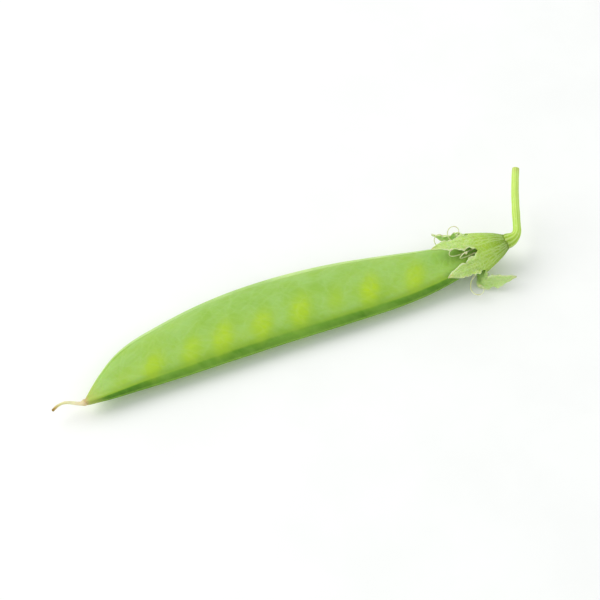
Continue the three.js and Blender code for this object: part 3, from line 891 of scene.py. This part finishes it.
# %% A walk
def walk(start, ahead, side, length, steps, pitch, yaw=lambda t: 0.0):
    """Places along a path of this length, and the last direction ahead.

    The path turns towards side by pitch(t) and aside by yaw(t), in radians, with t from 0 to 1."""
    across = np.cross(ahead, side)

    def heading(t):
        return turned(turned(ahead, across, pitch(t)), side, yaw(t))

    places = [np.array(start, float)]
    for i in range(1, steps + 1):
        places.append(places[-1] + heading((i - 0.5) / steps) * length / steps)
    return np.array(places), heading(1.0)


bend = walk((0, 0, 0), np.array([1.0, 0, 0]), np.array([0, 1.0, 0]), 1, 60, lambda t: t * math.pi / 2)
print("a walk round a quarter turn ends at", bend[0][-1].round(2))

# %% The lobes' lean and outline
# A lobe curls over the share of its length that is called by.
LOBES = [
    {"length": 8, "flare": 14, "curl": 26, "by": 1, "out": 4},
    {"length": 9, "flare": 6, "curl": 6, "by": 1, "out": 76},
    {"length": 8, "flare": 3, "curl": 8, "by": 1, "out": 146},
    {"length": 8.5, "flare": 0, "curl": 165, "by": 0.35, "out": 191},
    {"length": 7.5, "flare": -10, "curl": 0, "by": 1, "out": -68},
]
LOBE_START, LOBE_HALF = math.radians(2), math.pi / len(LOBES)
RIM_LEAN = math.atan2(CUP_HALF_WIDTH, CUP_DEPTH * CUP_BULGE)
NOTCH, TIP_WIDTH = 0.16, 0.045


def lobe_pitch(lobe, b):
    """How far a lobe has turned away from the axis at a share b of its length."""
    flare = RIM_LEAN + (math.radians(lobe["flare"]) - RIM_LEAN) * min(1, 3 * b)
    return flare + math.radians(lobe["curl"]) * min(1, b / lobe["by"]) ** 1.3


def lobe_taper(b):
    notches = 1 - NOTCH * (1 - math.exp(-b / 0.06))
    return max(TIP_WIDTH, (1 - b) ** 0.8 * (1 + 0.8 * b) * notches)


print("halfway up, a lobe has", round(lobe_taper(0.5), 2), "of its width")

# %% Ruffles, frills and ragged edges
RUFFLE, FRILL, CRUMPLE, RAGGED, SWAY = 0.5, 0.2, 0.16, 0.15, 0.42
RUFFLE_WAVES, FRILL_WAVES, RAGGED_WAVES, TORN_WAVES = 17, 41, 23, 61
LOBE_COLUMNS = 44
c = np.linspace(-1, 1, LOBE_COLUMNS + 1)
margin = np.abs(c)


def lobe_waves(b, index):
    """Over a lobe's width: how far it waves out of its surface, and how ragged its outline is."""
    phase = 4 * index + 1.5 * np.sign(c)
    ruffle = RUFFLE * margin**3 * (0.5 + np.sin(RUFFLE_WAVES * b + phase))
    frill = FRILL * margin**4 * (0.5 + np.sin(FRILL_WAVES * b + 2 * phase))
    crumple = CRUMPLE * (np.sin(8 * c + 5 * b + 3 * index) + 0.7 * np.sin(13 * b - 4 * c + index))
    settled = min(1, 4 * b) * (1 - b)
    wave = SWAY * b * c**2 * math.sin(7 * b + 2.3 * index) + settled * (ruffle + frill + crumple)
    ragged = RAGGED * (np.sin(RAGGED_WAVES * b + phase) + 0.45 * np.sin(TORN_WAVES * b))
    return wave, 1 + settled * margin**6 * ragged


print("a lobe waves by up to", round(float(np.abs(lobe_waves(0.5, 0)[0]).max()), 2), "mm")

# %% Rows up the cup
CUP_ROWS, WALL_THINNING = 26, 0.6


def cup_rows(turn):
    """Rows of points up the cup's wall, with their normals and the wall's thickness."""
    rows = []
    for s in np.linspace(FLOOR_SHARE, 1, CUP_ROWS + 1):
        along, away, back = cup_wall(s)
        at = cup_foot + ahead * along + around(turn, CUP_HALF_WIDTH * s, CUP_HALF_HEIGHT * s)
        thin = ((s - FLOOR_SHARE) / (1 - FLOOR_SHARE)) ** WALL_THINNING
        thickness = FLOOR_THICKNESS + (SEPAL_THICKNESS - FLOOR_THICKNESS) * thin
        rows.append((at, outward(turn) * away + ahead * back, thickness))
    return rows


print("the cup has", len(cup_rows(c)), "rows of points")

# %% Rows up a lobe
LOBE_ROWS, TIP_FLATNESS, TIP_THINNING = 84, 0.9, 0.35


def lobe_rows(index):
    """The middle surface of a fifth of the cup and its lobe, its normals and thicknesses."""
    lobe, middle = LOBES[index], LOBE_START + 2 * LOBE_HALF * index
    turn = middle + c * LOBE_HALF
    root, side = rim(np.array(middle)), outward(np.array(middle))
    across, arc = np.cross(ahead, side), rim(turn) - root
    out = around(np.array(math.radians(lobe["out"])), 1, 1)
    hinge = np.cross(ahead, out)
    spine = walk(root, ahead, out, lobe["length"], LOBE_ROWS, lambda b: lobe_pitch(lobe, b))[0]
    rows = cup_rows(turn)
    for i in range(1, LOBE_ROWS + 1):
        b = i / LOBE_ROWS
        pitch, taper, roundness = lobe_pitch(lobe, b), lobe_taper(b), 1 - TIP_FLATNESS * b
        wave, ragged = lobe_waves(b, index)
        lift = taper * roundness * (arc @ side) + wave
        points = spine[i] + (taper * ragged * (arc @ across))[:, None] * turned(across, hinge, pitch)
        points = points + lift[:, None] * turned(side, hinge, pitch)
        lean = outward(turn) * roundness + side * (1 - roundness)
        rows.append((points, unit(turned(lean, hinge, pitch)), SEPAL_THICKNESS * (1 - TIP_THINNING * b)))
    points, normals, thicknesses = zip(*rows)
    return np.array(points), np.array(normals), np.array(thicknesses)[:, None, None]


print("a fifth of the calyx has", lobe_rows(0)[0].shape[:2], "rows and columns")

# %% [markdown]
# The two faces of a lobe are joined along its edge by a narrow rounded strip. Where two lobes meet
# at a notch, their strips share one point, so the whole calyx closes into a single shell.


# %% Faces and edges of a lobe
def grid_faces(rows, columns):
    """Quads between points that are kept row by row."""
    i, j = np.arange(rows - 1)[:, None] * columns, np.arange(columns - 1)[None, :]
    corners = (i + j, i + columns + j, i + columns + j + 1, i + j + 1)
    return np.stack(np.broadcast_arrays(*corners), -1).reshape(-1, 4)


def lobe_edge(middle):
    """The edge of a lobe as rows and columns, and the way its strip bulges at each place."""
    last = len(middle) - 1
    left = [(r, 0) for r in range(CUP_ROWS, last)]
    tip = [(last, k) for k in range(LOBE_COLUMNS + 1)]
    right = [(r, LOBE_COLUMNS) for r in range(last - 1, CUP_ROWS - 1, -1)]
    edge = left + tip + right
    bulges = []
    for r, k in edge:
        inner = middle[r - 1 if r == last else r, min(max(k, 1), LOBE_COLUMNS - 1)]
        bulges.append(ahead if r == CUP_ROWS else unit(middle[r, k] - inner))
    return np.array(edge).T, np.array(bulges)


print("a lobe's edge has", lobe_edge(lobe_rows(0)[0])[0].shape[1], "points")

# %% Adding a lobe
calyx_faces = []


def add_lobe(points, faces, fields, index):
    """Adds a fifth of the calyx: two faces with a piece of the floor each, and the strip between."""
    middle, normal, thickness = lobe_rows(index)
    shape = middle.shape[:2]
    reach = np.broadcast_to(np.linspace(0, 1, shape[0])[:, None], shape)
    edge_share = np.broadcast_to(margin, shape)
    (rows, columns), bulges = lobe_edge(middle)
    firsts = []
    for side, floor in ((1, floor_out), (-1, floor_in)):
        first, inside = sum(len(p) for p in points), 0.5 - side / 2
        face = middle + side * normal * thickness / 2
        calyx_faces.append(face)
        points += [face.reshape(-1, 3), (cup_foot + ahead * floor)[None, :]]
        fields += [np.stack([reach, edge_share, inside + 0 * reach], -1).reshape(-1, 3), [[0, 0, inside]]]
        faces += (first + grid_faces(*shape)).tolist()
        faces += [(first + reach.size, first + k, first + k + 1) for k in range(LOBE_COLUMNS)]
        firsts.append(first)
    strip = sum(len(p) for p in points)
    points.append(middle[rows, columns] + bulges * thickness[rows, 0] / 2)
    fields.append(np.stack([reach[rows, columns], edge_share[rows, columns], 0.5 + 0 * rows], -1))
    at = (rows * shape[1] + columns).tolist()
    for i in range(len(at) - 1):
        faces += [(strip + i, strip + i + 1, first + at[i + 1], first + at[i]) for first in firsts]


print("the floor is", FLOOR_THICKNESS, "mm thick, and a lobe", SEPAL_THICKNESS, "mm")

# %% One shell from five lobes
points, faces, fields = [], [], []
for index in range(len(LOBES)):
    add_lobe(points, faces, fields, index)
reach, edge_share, inside = np.concatenate(fields).T
fields = {"reach": reach, "margin": edge_share, "inside": inside, "relief": np.clip(reach / 0.1, 0.2, 1)}
calyx = new_object("calyx_lobes", np.concatenate(points), [], faces, fields)
close_shell(calyx)

# %% [markdown]
# Five veins run up each lobe and draw together at its tip, with short slanting ones between them.
# The lines lie on both faces, because both are seen. They could be painted on, but a raised vein
# catches the light, so a tree lifts the leaf over them as it did on the pod.

# %% Lines of the calyx's veins
MAIN_VEINS = np.array([-0.68, -0.35, 0, 0.35, 0.68])
FIRST_ROW, MIDRIB_END, SIDE_VEIN_END = 3, 0.99, 0.9
CROSS_SPACING, CROSS_RISE, CROSS_POINTS, CROSS_FROM, CROSS_UNTIL = 7.0, (3, 8), 8, 0.5, 0.85


def on_grid(grid, row, column):
    """Points between those of a grid, at rows and columns that need not be whole."""
    row, column = np.clip(row, 0, len(grid) - 1.001), np.clip(column, 0, len(grid[0]) - 1.001)
    i, j = row.astype(int), column.astype(int)
    a, b = (row - i)[:, None], (column - j)[:, None]
    low = grid[i, j] * (1 - b) + grid[i, j + 1] * b
    return low * (1 - a) + (grid[i + 1, j] * (1 - b) + grid[i + 1, j + 1] * b) * a


def lobe_veins(face, draw):
    last, lines = len(face) - 1, []
    for vein in MAIN_VEINS:
        row = np.arange(FIRST_ROW, last * (MIDRIB_END if vein == 0 else SIDE_VEIN_END), 2.0)
        sway = vein * (1 + 0.1 * np.sin(row / 9 + 5 * vein)) + 0.02 * np.sin(row / 5)
        lines.append(on_grid(face, row, (sway + 1) / 2 * LOBE_COLUMNS))
    for start, end in zip(MAIN_VEINS, MAIN_VEINS[1:]):
        starts = np.arange(CUP_ROWS * CROSS_FROM, last * CROSS_UNTIL, CROSS_SPACING)
        for row in starts + draw.uniform(-2, 2):
            share = np.linspace(0, 1, CROSS_POINTS)
            rows = row + share * draw.uniform(*CROSS_RISE) * (1 if start >= 0 else -1)
            column = (start + (end - start) * share + 1) / 2 * LOBE_COLUMNS
            lines.append(on_grid(face, rows, column))
    return lines


draw = np.random.default_rng(11)
lines = [line for face in calyx_faces for line in lobe_veins(face, draw)]
calyx_vein_lines = line_object("calyx_vein_lines", lines)
print(len(lines), "veins on the calyx")


# %% The tree that raises the calyx's veins
def raised_veins():
    sizes = {"Vein Width": (FLOAT, 0.0002), "Vein Height": (FLOAT, 0.00006), **UNEVEN}
    tree, given, result = new_tree("Raised veins", {"Vein Lines": ("NodeSocketObject", None), **sizes})
    lines = node(tree, "GeometryNodeObjectInfo", {"Object": given["Vein Lines"]}).outputs["Geometry"]
    skin, height = with_veins(tree, given["Geometry"], lines, given)
    height = (height + unevenness(tree, given)) * named(tree, "relief")
    return end_tree(raised(skin, height), given, result)


veins_tree = raised_veins()

# %% [markdown]
# ## The calyx's finish
# A calyx is a paler, yellower green than its pod, and greener in the cup, where it is thick. Its
# margins are paler still: partly because they are only a few cells thick and nearly clear, and partly
# as a painted highlight. One flat green would hide how thin the leaf is. Here its colour runs from
# the stalk to the tips, and a net of veins thinner than the mesh could hold is drawn over it in the
# material.

# %% Calyx leaf
LEAF_STOPS = [
    (0.0, "6b8a0c"), (0.07, "7fa316"), (0.2, "a8cc3c"), (0.45, "b4d757"), (0.85, "c0de78"), (1.0, "bdb06a"),
]
calyx_leaf, tree = new_material("calyx_leaf")
reach = kept(tree, "reach")
towards_tip = ramp(reach, 0.1, 0.5, 0.2, 0.55)
dapples = effect(tree, mottling, {"Size": 0.0008, "Shift": 2.0})
greyed = mixed(dapples * towards_tip, colours(reach, LEAF_STOPS), "9cbe62")
# The pale margins are partly the leaf's thin edge and partly a painted highlight.
pale_margin_and_highlight = ramp(kept(tree, "margin"), 0.72, 1.0) * ramp(reach, 0.25, 0.4, 0.0, 0.8)
edged = mixed(pale_margin_and_highlight, greyed, "dcedb8")
lined = mixed(kept(tree, "vein") * 0.4, edged, "cbe69a")
fine_net = effect(tree, vein_net, {"Size": 0.0006, "Stretch": 2.0, "Lean": 0.7})
netted = mixed(fine_net * towards_tip, lined, "d3e7a6")
inner = mixed(kept(tree, "inside") * 0.35, netted, "c6dea0")
relief = fine_net * 0.6 + effect(tree, grain, {"Size": 0.00016})
roughness = effect(tree, mottling, {"Size": 0.002}) * 0.12 + 0.5
finish("calyx leaf", inner, roughness, relief, relief_depth=0.00004, subsurface=0.45)

# %% The calyx
run_tree(calyx, veins_tree, {
    "Vein Lines": calyx_vein_lines, "Vein Width": 0.22 * MM, "Vein Height": 0.06 * MM,
    "Unevenness": 0.08 * MM, "Unevenness Size": 1.8 * MM, "Finish": calyx_leaf,
})
bpy.data.objects.remove(calyx_vein_lines)

# %% [markdown]
# ## A tree for stems
# The stalk and the dried style are both stems: long things that follow a path, with ribs along
# them. A stem could be a curve object with a bevel, but a bevel is a plain ring all the way. This
# tree sweeps a ring that may be flattened and twisted, and raises broad and fine ribs on it. The
# path says at each point how thick the stem is there.

# %% The tree that grows stems
STEM_SIZES = {
    "Radius": (FLOAT, 0.0008), "Sides": (WHOLE, 60), "Flatness": (FLOAT, 1.0), "Twist": (FLOAT, 0.0),
    "Ribs": (FLOAT, 5.0), "Rib Height": (FLOAT, 0.0), "Fine Ribs": (FLOAT, 10.0),
    "Fine Rib Height": (FLOAT, 0.0), **UNEVEN,
}
RIB_TWIST, RIB_SWAY, RIB_BENDS = 1.2, 0.6, 13.0


def grown_stem():
    tree, given, result = new_tree("Grown stem", STEM_SIZES)
    along, turn = named(tree, "along"), named(tree, "turn")
    curve = node(tree, "GeometryNodeMeshToCurve", {0: given["Geometry"]}).outputs[0]
    twisted = node(tree, "GeometryNodeSetCurveTilt", {"Curve": curve, "Tilt": along * given["Twist"]})
    place = node(tree, "GeometryNodeInputPosition").outputs[0]
    ring = turned_circle(tree, given["Sides"], given["Radius"])
    ring = placed(ring, vectors("MULTIPLY", place, vector(tree, 1.0, given["Flatness"], 1.0)))
    sweep = {"Curve": twisted.outputs[0], "Profile Curve": ring, "Fill Caps": True}
    sweep["Scale"] = named(tree, "thickness")
    stem = node(tree, "GeometryNodeCurveToMesh", sweep).outputs[0]
    broad_ribs = maths("COSINE", turn * given["Ribs"] + along * RIB_TWIST)
    swaying = turn * given["Fine Ribs"] + maths("SINE", along * RIB_BENDS) * RIB_SWAY
    stem = stored(stem, "rib", ramp(maths("COSINE", swaying), -0.4, 1.0))
    ribs = broad_ribs * given["Rib Height"] + named(tree, "rib") * given["Fine Rib Height"]
    height = (ribs + unevenness(tree, given)) * named(tree, "relief")
    return end_tree(raised(stem, height), given, result)


stem_tree = grown_stem()

# %% [markdown]
# ## The stalk
# The stalk swells where it joins the calyx, bends sharply towards the curved seam, and runs on
# nearly straight but for a low knot. It is not quite round: five low ribs run along it, with finer
# ones between. It ends in a cut, where a paler pith shows. Its path is walked, since a walk keeps
# the length true however it bends, and a few more points past its end draw the ring together over
# the cut.

# %% The stalk's path
STALK_LENGTH, STALK_RADIUS, STALK_STEPS, STALK_SIDES = 16.5, 0.78, 260, 60
STALK_BEND, STALK_STRAIGHTENING, STALK_TOWARDS = math.radians(72), math.radians(9), math.radians(14)
STALK_FOOT, FOOT_REACH, STALK_TAPER, JOINT_DEPTH, BEND_SHARE = 0.9, 0.11, 0.08, 0.5, 0.24
KNOT_HEIGHT, KNOT_AT, KNOT_REACH = 0.05, 0.42, 0.05
CUT_SHARES, CUT_RISE = [0.97, 0.9, 0.8, 0.6, 0.35, 0.12], [0.05, 0.09, 0.11, 0.12, 0.125, 0.13]


def stalk_pitch(t):
    ease = min(1, t / BEND_SHARE)
    return STALK_BEND * ease * ease * (3 - 2 * ease) - STALK_STRAIGHTENING * t * t


def lengthened(before, values, after):
    """Values along a path, carried on before its start and after its end."""
    return np.concatenate([before, values, after])


start, side = cup_foot + ahead * (floor_out - GAP), around(np.array(STALK_TOWARDS), 1, 1)
places, heading = walk(start, -ahead, side, STALK_LENGTH, STALK_STEPS, stalk_pitch)
t = np.linspace(0, 1, STALK_STEPS + 1)
foot = STALK_FOOT * np.exp(-((t / FOOT_REACH) ** 2))
knot = KNOT_HEIGHT * np.exp(-(((t - KNOT_AT) / KNOT_REACH) ** 2))
swell = 1 + foot - STALK_TAPER * t + knot
joint = start + ahead * np.array([[1.0], [0.5]]) * JOINT_DEPTH
cut = places[-1] + heading * np.array(CUT_RISE)[:, None]
uncut = np.zeros(len(joint) + len(t) + 1)
fields = {
    "along": lengthened([0, 0], t, np.ones(len(cut))),
    "thickness": lengthened([swell[0]] * 2, swell, swell[-1] * np.array(CUT_SHARES)),
    "relief": lengthened([1, 1], np.clip((1 - t) / 0.02, 0, 1), np.zeros(len(cut))),
    "cut": np.concatenate([uncut, np.linspace(0.7, 1, len(cut) - 1)]),
}
path = lengthened(joint, places, cut)
stalk = line_object("stalk_stem", [path], {name: [values] for name, values in fields.items()})
print("the stalk ends at", places[-1].round(1))

# %% [markdown]
# ## The stalk's finish
# The rind is yellower than the pod and darkest in the crook of the bend. Pale lines along the ribs
# are a painted highlight, and there are a few flecks. The cut end is not rind at all, so the mesh's
# cut attribute swaps the whole colour there for a browned pith.

# %% Stalk rind
RIND_STOPS = [
    (0.0, "88ab1e"), (0.05, "a0c636"), (0.15, "b4d64c"), (0.5, "c4e463"), (0.9, "c6e466"), (1.0, "bfc868"),
]
stalk_rind, tree = new_material("stalk_rind")
shade = effect(tree, mottling, {"Size": 0.0014})
shaded = mixed(shade * 0.35, colours(kept(tree, "along"), RIND_STOPS), "a6ca43")
# The pale lines along the ribs are a painted highlight.
painted_rib_highlights = mixed(kept(tree, "rib") * 0.5, shaded, "dbf299")
flecks = ramp(effect(tree, mottling, {"Size": 0.0005, "Shift": 5.0}), 0.8, 0.95, 0.0, 0.35)
flecked = mixed(flecks, painted_rib_highlights, "d3e39b")
pith_spots = effect(tree, mottling, {"Size": 0.0003, "Shift": 9.0})
pith = mixed(pith_spots, "cbdc8a", "b3a45c")
cut_end = mixed(kept(tree, "cut"), flecked, pith)
relief = effect(tree, grain, {"Size": 0.00015})
finish("stalk rind", cut_end, shade * 0.15 + 0.4, relief, relief_depth=0.00003, subsurface=0.25)

# %% The stalk
run_tree(stalk, stem_tree, {
    "Radius": STALK_RADIUS * MM, "Sides": STALK_SIDES, "Flatness": 1.0, "Twist": 0.0, "Ribs": 5.0,
    "Rib Height": 0.035 * MM, "Fine Ribs": 10.0, "Fine Rib Height": 0.04 * MM, "Unevenness": 0.1 * MM,
    "Unevenness Size": 2 * MM, "Finish": stalk_rind,
})

# %% [markdown]
# ## The dried style
# The style stays on the beak as a flattened, slightly twisted thread that has dried to a cream
# colour and is browned at its tip. It is a stem again, drawn out wider than it is thick, so the
# same tree grows it from a path of its own.

# %% The style's path
STYLE_LENGTH, STYLE_RADIUS, STYLE_STEPS, STYLE_SIDES = 6.4, 0.46, 90, 28
STYLE_WAVE, STYLE_DRIFT, STYLE_JOINT, STYLE_TIP = math.radians(26), math.radians(10), 0.32, 0.2
STYLE_TAPER, STYLE_FOOT, STYLE_FOOT_REACH = 0.1, 0.5, 0.06
ASTERN, DORSAL_SIDE = np.array([-1.0, 0, 0]), np.array([0, 1.0, 0])


def style_pitch(t):
    return STYLE_WAVE * math.sin(5 * t)


def style_yaw(t):
    return STYLE_DRIFT * math.sin(4 * t)


start = section(np.array(0.0))[0] + ASTERN * GAP
places, heading = walk(start, ASTERN, DORSAL_SIDE, STYLE_LENGTH, STYLE_STEPS, style_pitch, style_yaw)
t, bend = np.linspace(0, 1, STYLE_STEPS + 1), np.linspace(0, math.pi / 2, 7)[1:-1]
thin = (1 - STYLE_TAPER * t) * (1 + STYLE_FOOT * np.exp(-((t / STYLE_FOOT_REACH) ** 2)))
joint = start - ASTERN * np.array([[1.0], [0.5]]) * STYLE_JOINT
tip = places[-1] + heading * STYLE_TIP * np.sin(bend)[:, None]
fields = {
    "along": lengthened([0, 0], t, 0 * bend + 1),
    "thickness": lengthened([thin[0]] * 2, thin, thin[-1] * np.cos(bend)),
    "relief": np.ones(len(t) + len(bend) + 2),
}
path = lengthened(joint, places, tip)
style = line_object("style_thread", [path], {name: [values] for name, values in fields.items()})
print("the style ends at", places[-1].round(1))

# %% [markdown]
# ## The style's finish
# A thread that has dried is dull, streaked along its fibres and brown at the end that dried first.
# Streaks could be modelled as fine ribs, but they are thinner than the mesh, so the material draws
# them.

# %% Dried style
STYLE_STOPS = [
    (0.0, "d5c196"), (0.12, "ead9b6"), (0.4, "ece8ba"), (0.75, "e4dfaa"), (0.93, "c3a25e"), (1.0, "97723a")
]
dry_style, tree = new_material("dry_style")
fibres = effect(tree, mottling, {"Size": 0.0005, "Stretch": 4.0})
streaked = mixed(fibres * 0.4, colours(kept(tree, "along"), STYLE_STOPS), "c9ba80")
relief = effect(tree, grain, {"Size": 0.00012})
finish("dry style", streaked, 0.55, relief, relief_depth=0.00003, subsurface=0.25)
run_tree(style, stem_tree, {
    "Radius": STYLE_RADIUS * MM, "Sides": STYLE_SIDES, "Flatness": 0.62, "Twist": 1.6, "Ribs": 2.0,
    "Rib Height": 0.02 * MM, "Fine Ribs": 6.0, "Fine Rib Height": 0.02 * MM, "Unevenness": 0.12 * MM,
    "Unevenness Size": 0.8 * MM, "Finish": dry_style,
})

# %% [markdown]
# ## The dried stamens
# When the flower fades, its stamens dry to pale threads that curl out between the lobes, each with
# the husk of an anther at its end. They grow from a collar round the neck. Hair particles would
# scatter such threads at random, but each of these has its own place and curl, so each is walked.
# Then a tree spins a thread along every path and puts a husk on every loose end.

# %% Paths of the stamens
COLLAR_ALONG, COLLAR_INSET, THREAD_STEPS = 6.2, 1.15, 60
THREADS = [
    {"turn": 36, "length": 11, "lean": 1, "curl": 345, "late": 2.2, "drift": -5},
    {"turn": 53, "length": 12, "lean": 5, "curl": 260, "late": 4, "drift": 5},
    {"turn": 94, "length": 9, "lean": 3, "curl": 155, "late": 3.2, "drift": 15},
    {"turn": 110, "length": 9, "lean": 0, "curl": 320, "late": 2.6, "drift": 20},
    {"turn": 194, "length": 11, "lean": 19, "curl": 315, "late": 2.6, "drift": 5},
    {"turn": 339, "length": 10.5, "lean": 9, "curl": 310, "late": 2.6, "drift": 10},
]


def collar(turn):
    ring = around(turn, CUP_HALF_WIDTH - COLLAR_INSET, CUP_HALF_HEIGHT - COLLAR_INSET)
    return cup_foot + ahead * COLLAR_ALONG + ring


def stamen(turn, length, lean, curl, late, drift):
    """A thread's path. The turns are in degrees, and a high late has it curl near its end."""
    turn = np.array(math.radians(turn))

    def pitch(t):
        return math.radians(lean + curl * t**late)

    def yaw(t):
        return math.radians(drift) * t

    return walk(collar(turn), ahead, outward(turn), length, THREAD_STEPS, pitch, yaw)[0]


loop = collar(np.linspace(0, 2 * math.pi, 73))
lines = [stamen(**thread) for thread in THREADS]
thickness = [np.full(len(loop), 1.5)] + [np.linspace(1.15, 0.6, len(line)) for line in lines]
loose = [np.zeros(len(loop))] + [np.arange(len(line)) == len(line) - 1 for line in lines]
stamens = line_object("stamen_threads", [loop, *lines], {"thickness": thickness, "loose": loose})
print(len(THREADS), "threads, the longest", max(thread["length"] for thread in THREADS), "mm")


# %% The tree that spins threads
def spun_threads():
    husk_sizes = {"Husk Length": (FLOAT, 0.0004), "Husk Width": (FLOAT, 0.0002)}
    tree, given, result = new_tree(
        "Spun threads", {"Thread Radius": (FLOAT, 0.00012), "Sides": (WHOLE, 10), **husk_sizes}
    )
    curve = node(tree, "GeometryNodeMeshToCurve", {0: given["Geometry"]}).outputs[0]
    ring = turned_circle(tree, given["Sides"], given["Thread Radius"])
    sweep = {"Curve": curve, "Profile Curve": ring, "Scale": named(tree, "thickness"), "Fill Caps": True}
    husk = node(tree, "GeometryNodeMeshUVSphere", {"Segments": 12, "Rings": 8, "Radius": 1.0}).outputs[0]
    heading = node(tree, "GeometryNodeInputTangent").outputs[0]
    facing = node(tree, "FunctionNodeAlignRotationToVector", {"Vector": heading}, axis="Z").outputs[0]
    where = {"Points": curve, "Selection": maths("GREATER_THAN", named(tree, "loose"), 0.5)}
    size = vector(tree, given["Husk Width"], given["Husk Width"], given["Husk Length"])
    husks = node(
        tree, "GeometryNodeInstanceOnPoints", {**where, "Instance": husk, "Rotation": facing, "Scale": size}
    )
    both = tree.nodes.new("GeometryNodeJoinGeometry")
    wire(node(tree, "GeometryNodeCurveToMesh", sweep).outputs[0], both.inputs[0])
    wire(husks.outputs[0], both.inputs[0])
    return end_tree(both.outputs[0], given, result)


threads_tree = spun_threads()

# %% [markdown]
# ## The threads' finish
# Dried threads are cream, with a green cast left in them and brown where they have begun to rot. A
# plain cream would do from a step away, but close by it looks like plastic.

# %% Dried threads
dry_thread, tree = new_material("dry_thread")
cream = mixed(effect(tree, mottling, {"Size": 0.0011}), "e4e9be", "cdd79a")
browner = ramp(effect(tree, mottling, {"Size": 0.0008, "Shift": 4.0}), 0.6, 1.0, 0.0, 0.5)
browned = mixed(browner, cream, "b99f60")
relief = effect(tree, grain, {"Size": 0.0001})
finish("dry thread", browned, 0.6, relief, relief_depth=0.00002, subsurface=0.3)
run_tree(stamens, threads_tree, {
    "Thread Radius": 0.13 * MM, "Sides": 10, "Husk Length": 0.34 * MM, "Husk Width": 0.19 * MM,
    "Finish": dry_thread,
})

# %% [markdown]
# ## Standing in for the frame
# Each fine piece stands in for the frame's node of the same part and rides on the one body there
# is. The frame's own meshes stay as they are, so a program that needs few triangles can still use
# them.

# %% Pieces
for piece, name in ((pod, "pod"), (calyx, "calyx"), (stalk, "stalk"), (stamens, "stamens"), (style, "style")):
    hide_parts(name)
    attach(piece, "root")
    low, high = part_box(name)
    print(f"{piece.name} stands in for {name}, {(high - low).x / MM:.1f} mm long")


# %% [markdown]
# ## The table
# A plain pale table lets the soft shadow show, which is what says that the pod lies on something. A
# perfectly even white would look cut out, so its paper is mottled, but only just.

# %% Table
TABLE_HALF, PAPER_ROUGHNESS = 3.0, 0.75
CORNERS = [(-1, -1), (1, -1), (1, 1), (-1, 1)]
pale, tree = new_material("pale_table")
table_shader = tree.nodes["Principled BSDF"].inputs
wire(mixed(effect(tree, mottling, {"Size": 0.02}), "f9faf8", "f6f7f5"), table_shader["Base Color"])
table_shader["Roughness"].default_value = PAPER_ROUGHNESS
mesh = bpy.data.meshes.new("table")
mesh.from_pydata([(x * TABLE_HALF, y * TABLE_HALF, 0) for x, y in CORNERS], [], [(0, 1, 2, 3)])
mesh.materials.append(pale)
table = bpy.data.objects.new("table", mesh)
bpy.context.scene.collection.objects.link(table)
table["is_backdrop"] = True
print("the table is", 2 * TABLE_HALF, "m wide")

# %% [markdown]
# ## Light
# A green thing is easily lit too hard: its highlights turn white and its shadows black. Two large
# soft lights and an even, bright room keep every part of it green. The window stands above and
# behind, so the upper flank is bright and even, and the side that faces the camera falls into a
# deeper green.

# %% Soft lights and the room
ROOM_COLOUR, ROOM_STRENGTH = (0.97, 0.985, 1.0, 1.0), 0.76


def soft_light(name, place, size, power, tint):
    data = bpy.data.lights.new(name, "AREA")
    data.shape, data.size, data.energy, data.color = "DISK", size, power, tint
    lamp = bpy.data.objects.new(name, data)
    lamp.location = place
    lamp.rotation_euler = (-Vector(place)).to_track_quat("-Z", "Y").to_euler()
    bpy.context.scene.collection.objects.link(lamp)


soft_light("window", (-0.42, 0.34, 0.62), size=0.7, power=3.4, tint=(1.0, 0.99, 0.96))
soft_light("front", (0.35, -0.65, 0.55), size=0.8, power=0.3, tint=(0.95, 0.98, 1.0))
world = bpy.data.worlds.new("room")
world.use_nodes = True
world.node_tree.nodes["Background"].inputs["Color"].default_value = ROOM_COLOUR
world.node_tree.nodes["Background"].inputs["Strength"].default_value = ROOM_STRENGTH
bpy.context.scene.world = world
bpy.context.scene.view_settings.view_transform = "Standard"
print("two soft lights and an even room")

# %% [markdown]
# ## The camera
# The camera looks down on the pod from beyond its straight seam and a little towards its beak. A
# long lens keeps a small thing free of the stretching that a wide lens gives close by. It is aimed
# at the middle of the frame's box, so it would follow the pod if the frame changed.

# %% Camera
AZIMUTH, ELEVATION, DISTANCE, LENS = math.radians(-22.7), math.radians(54), 0.325, 100
back = Vector((
    math.sin(AZIMUTH) * math.cos(ELEVATION), -math.cos(AZIMUTH) * math.cos(ELEVATION), math.sin(ELEVATION)
))
aim = (cad_box[0] + cad_box[1]) / 2
data = bpy.data.cameras.new("camera")
data.lens, data.clip_start, data.clip_end = LENS, 0.01, 20
camera = bpy.data.objects.new("camera", data)
camera.location = aim + back * DISTANCE
camera.rotation_euler = (-back).to_track_quat("-Z", "Y").to_euler()
bpy.context.scene.collection.objects.link(camera)
bpy.context.scene.camera = camera
print("the camera is", DISTANCE, "m away")

# %% [markdown]
# ## Sizes
# Last, the fine model is measured, since it has to fill the same space as the frame. Both boxes
# are printed.

# %% Sizes, then finish
visual_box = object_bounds()
for label, corners in (("frame", cad_box), ("fine model", visual_box)):
    print(label, [round(x / MM, 2) for p in corners for x in p])
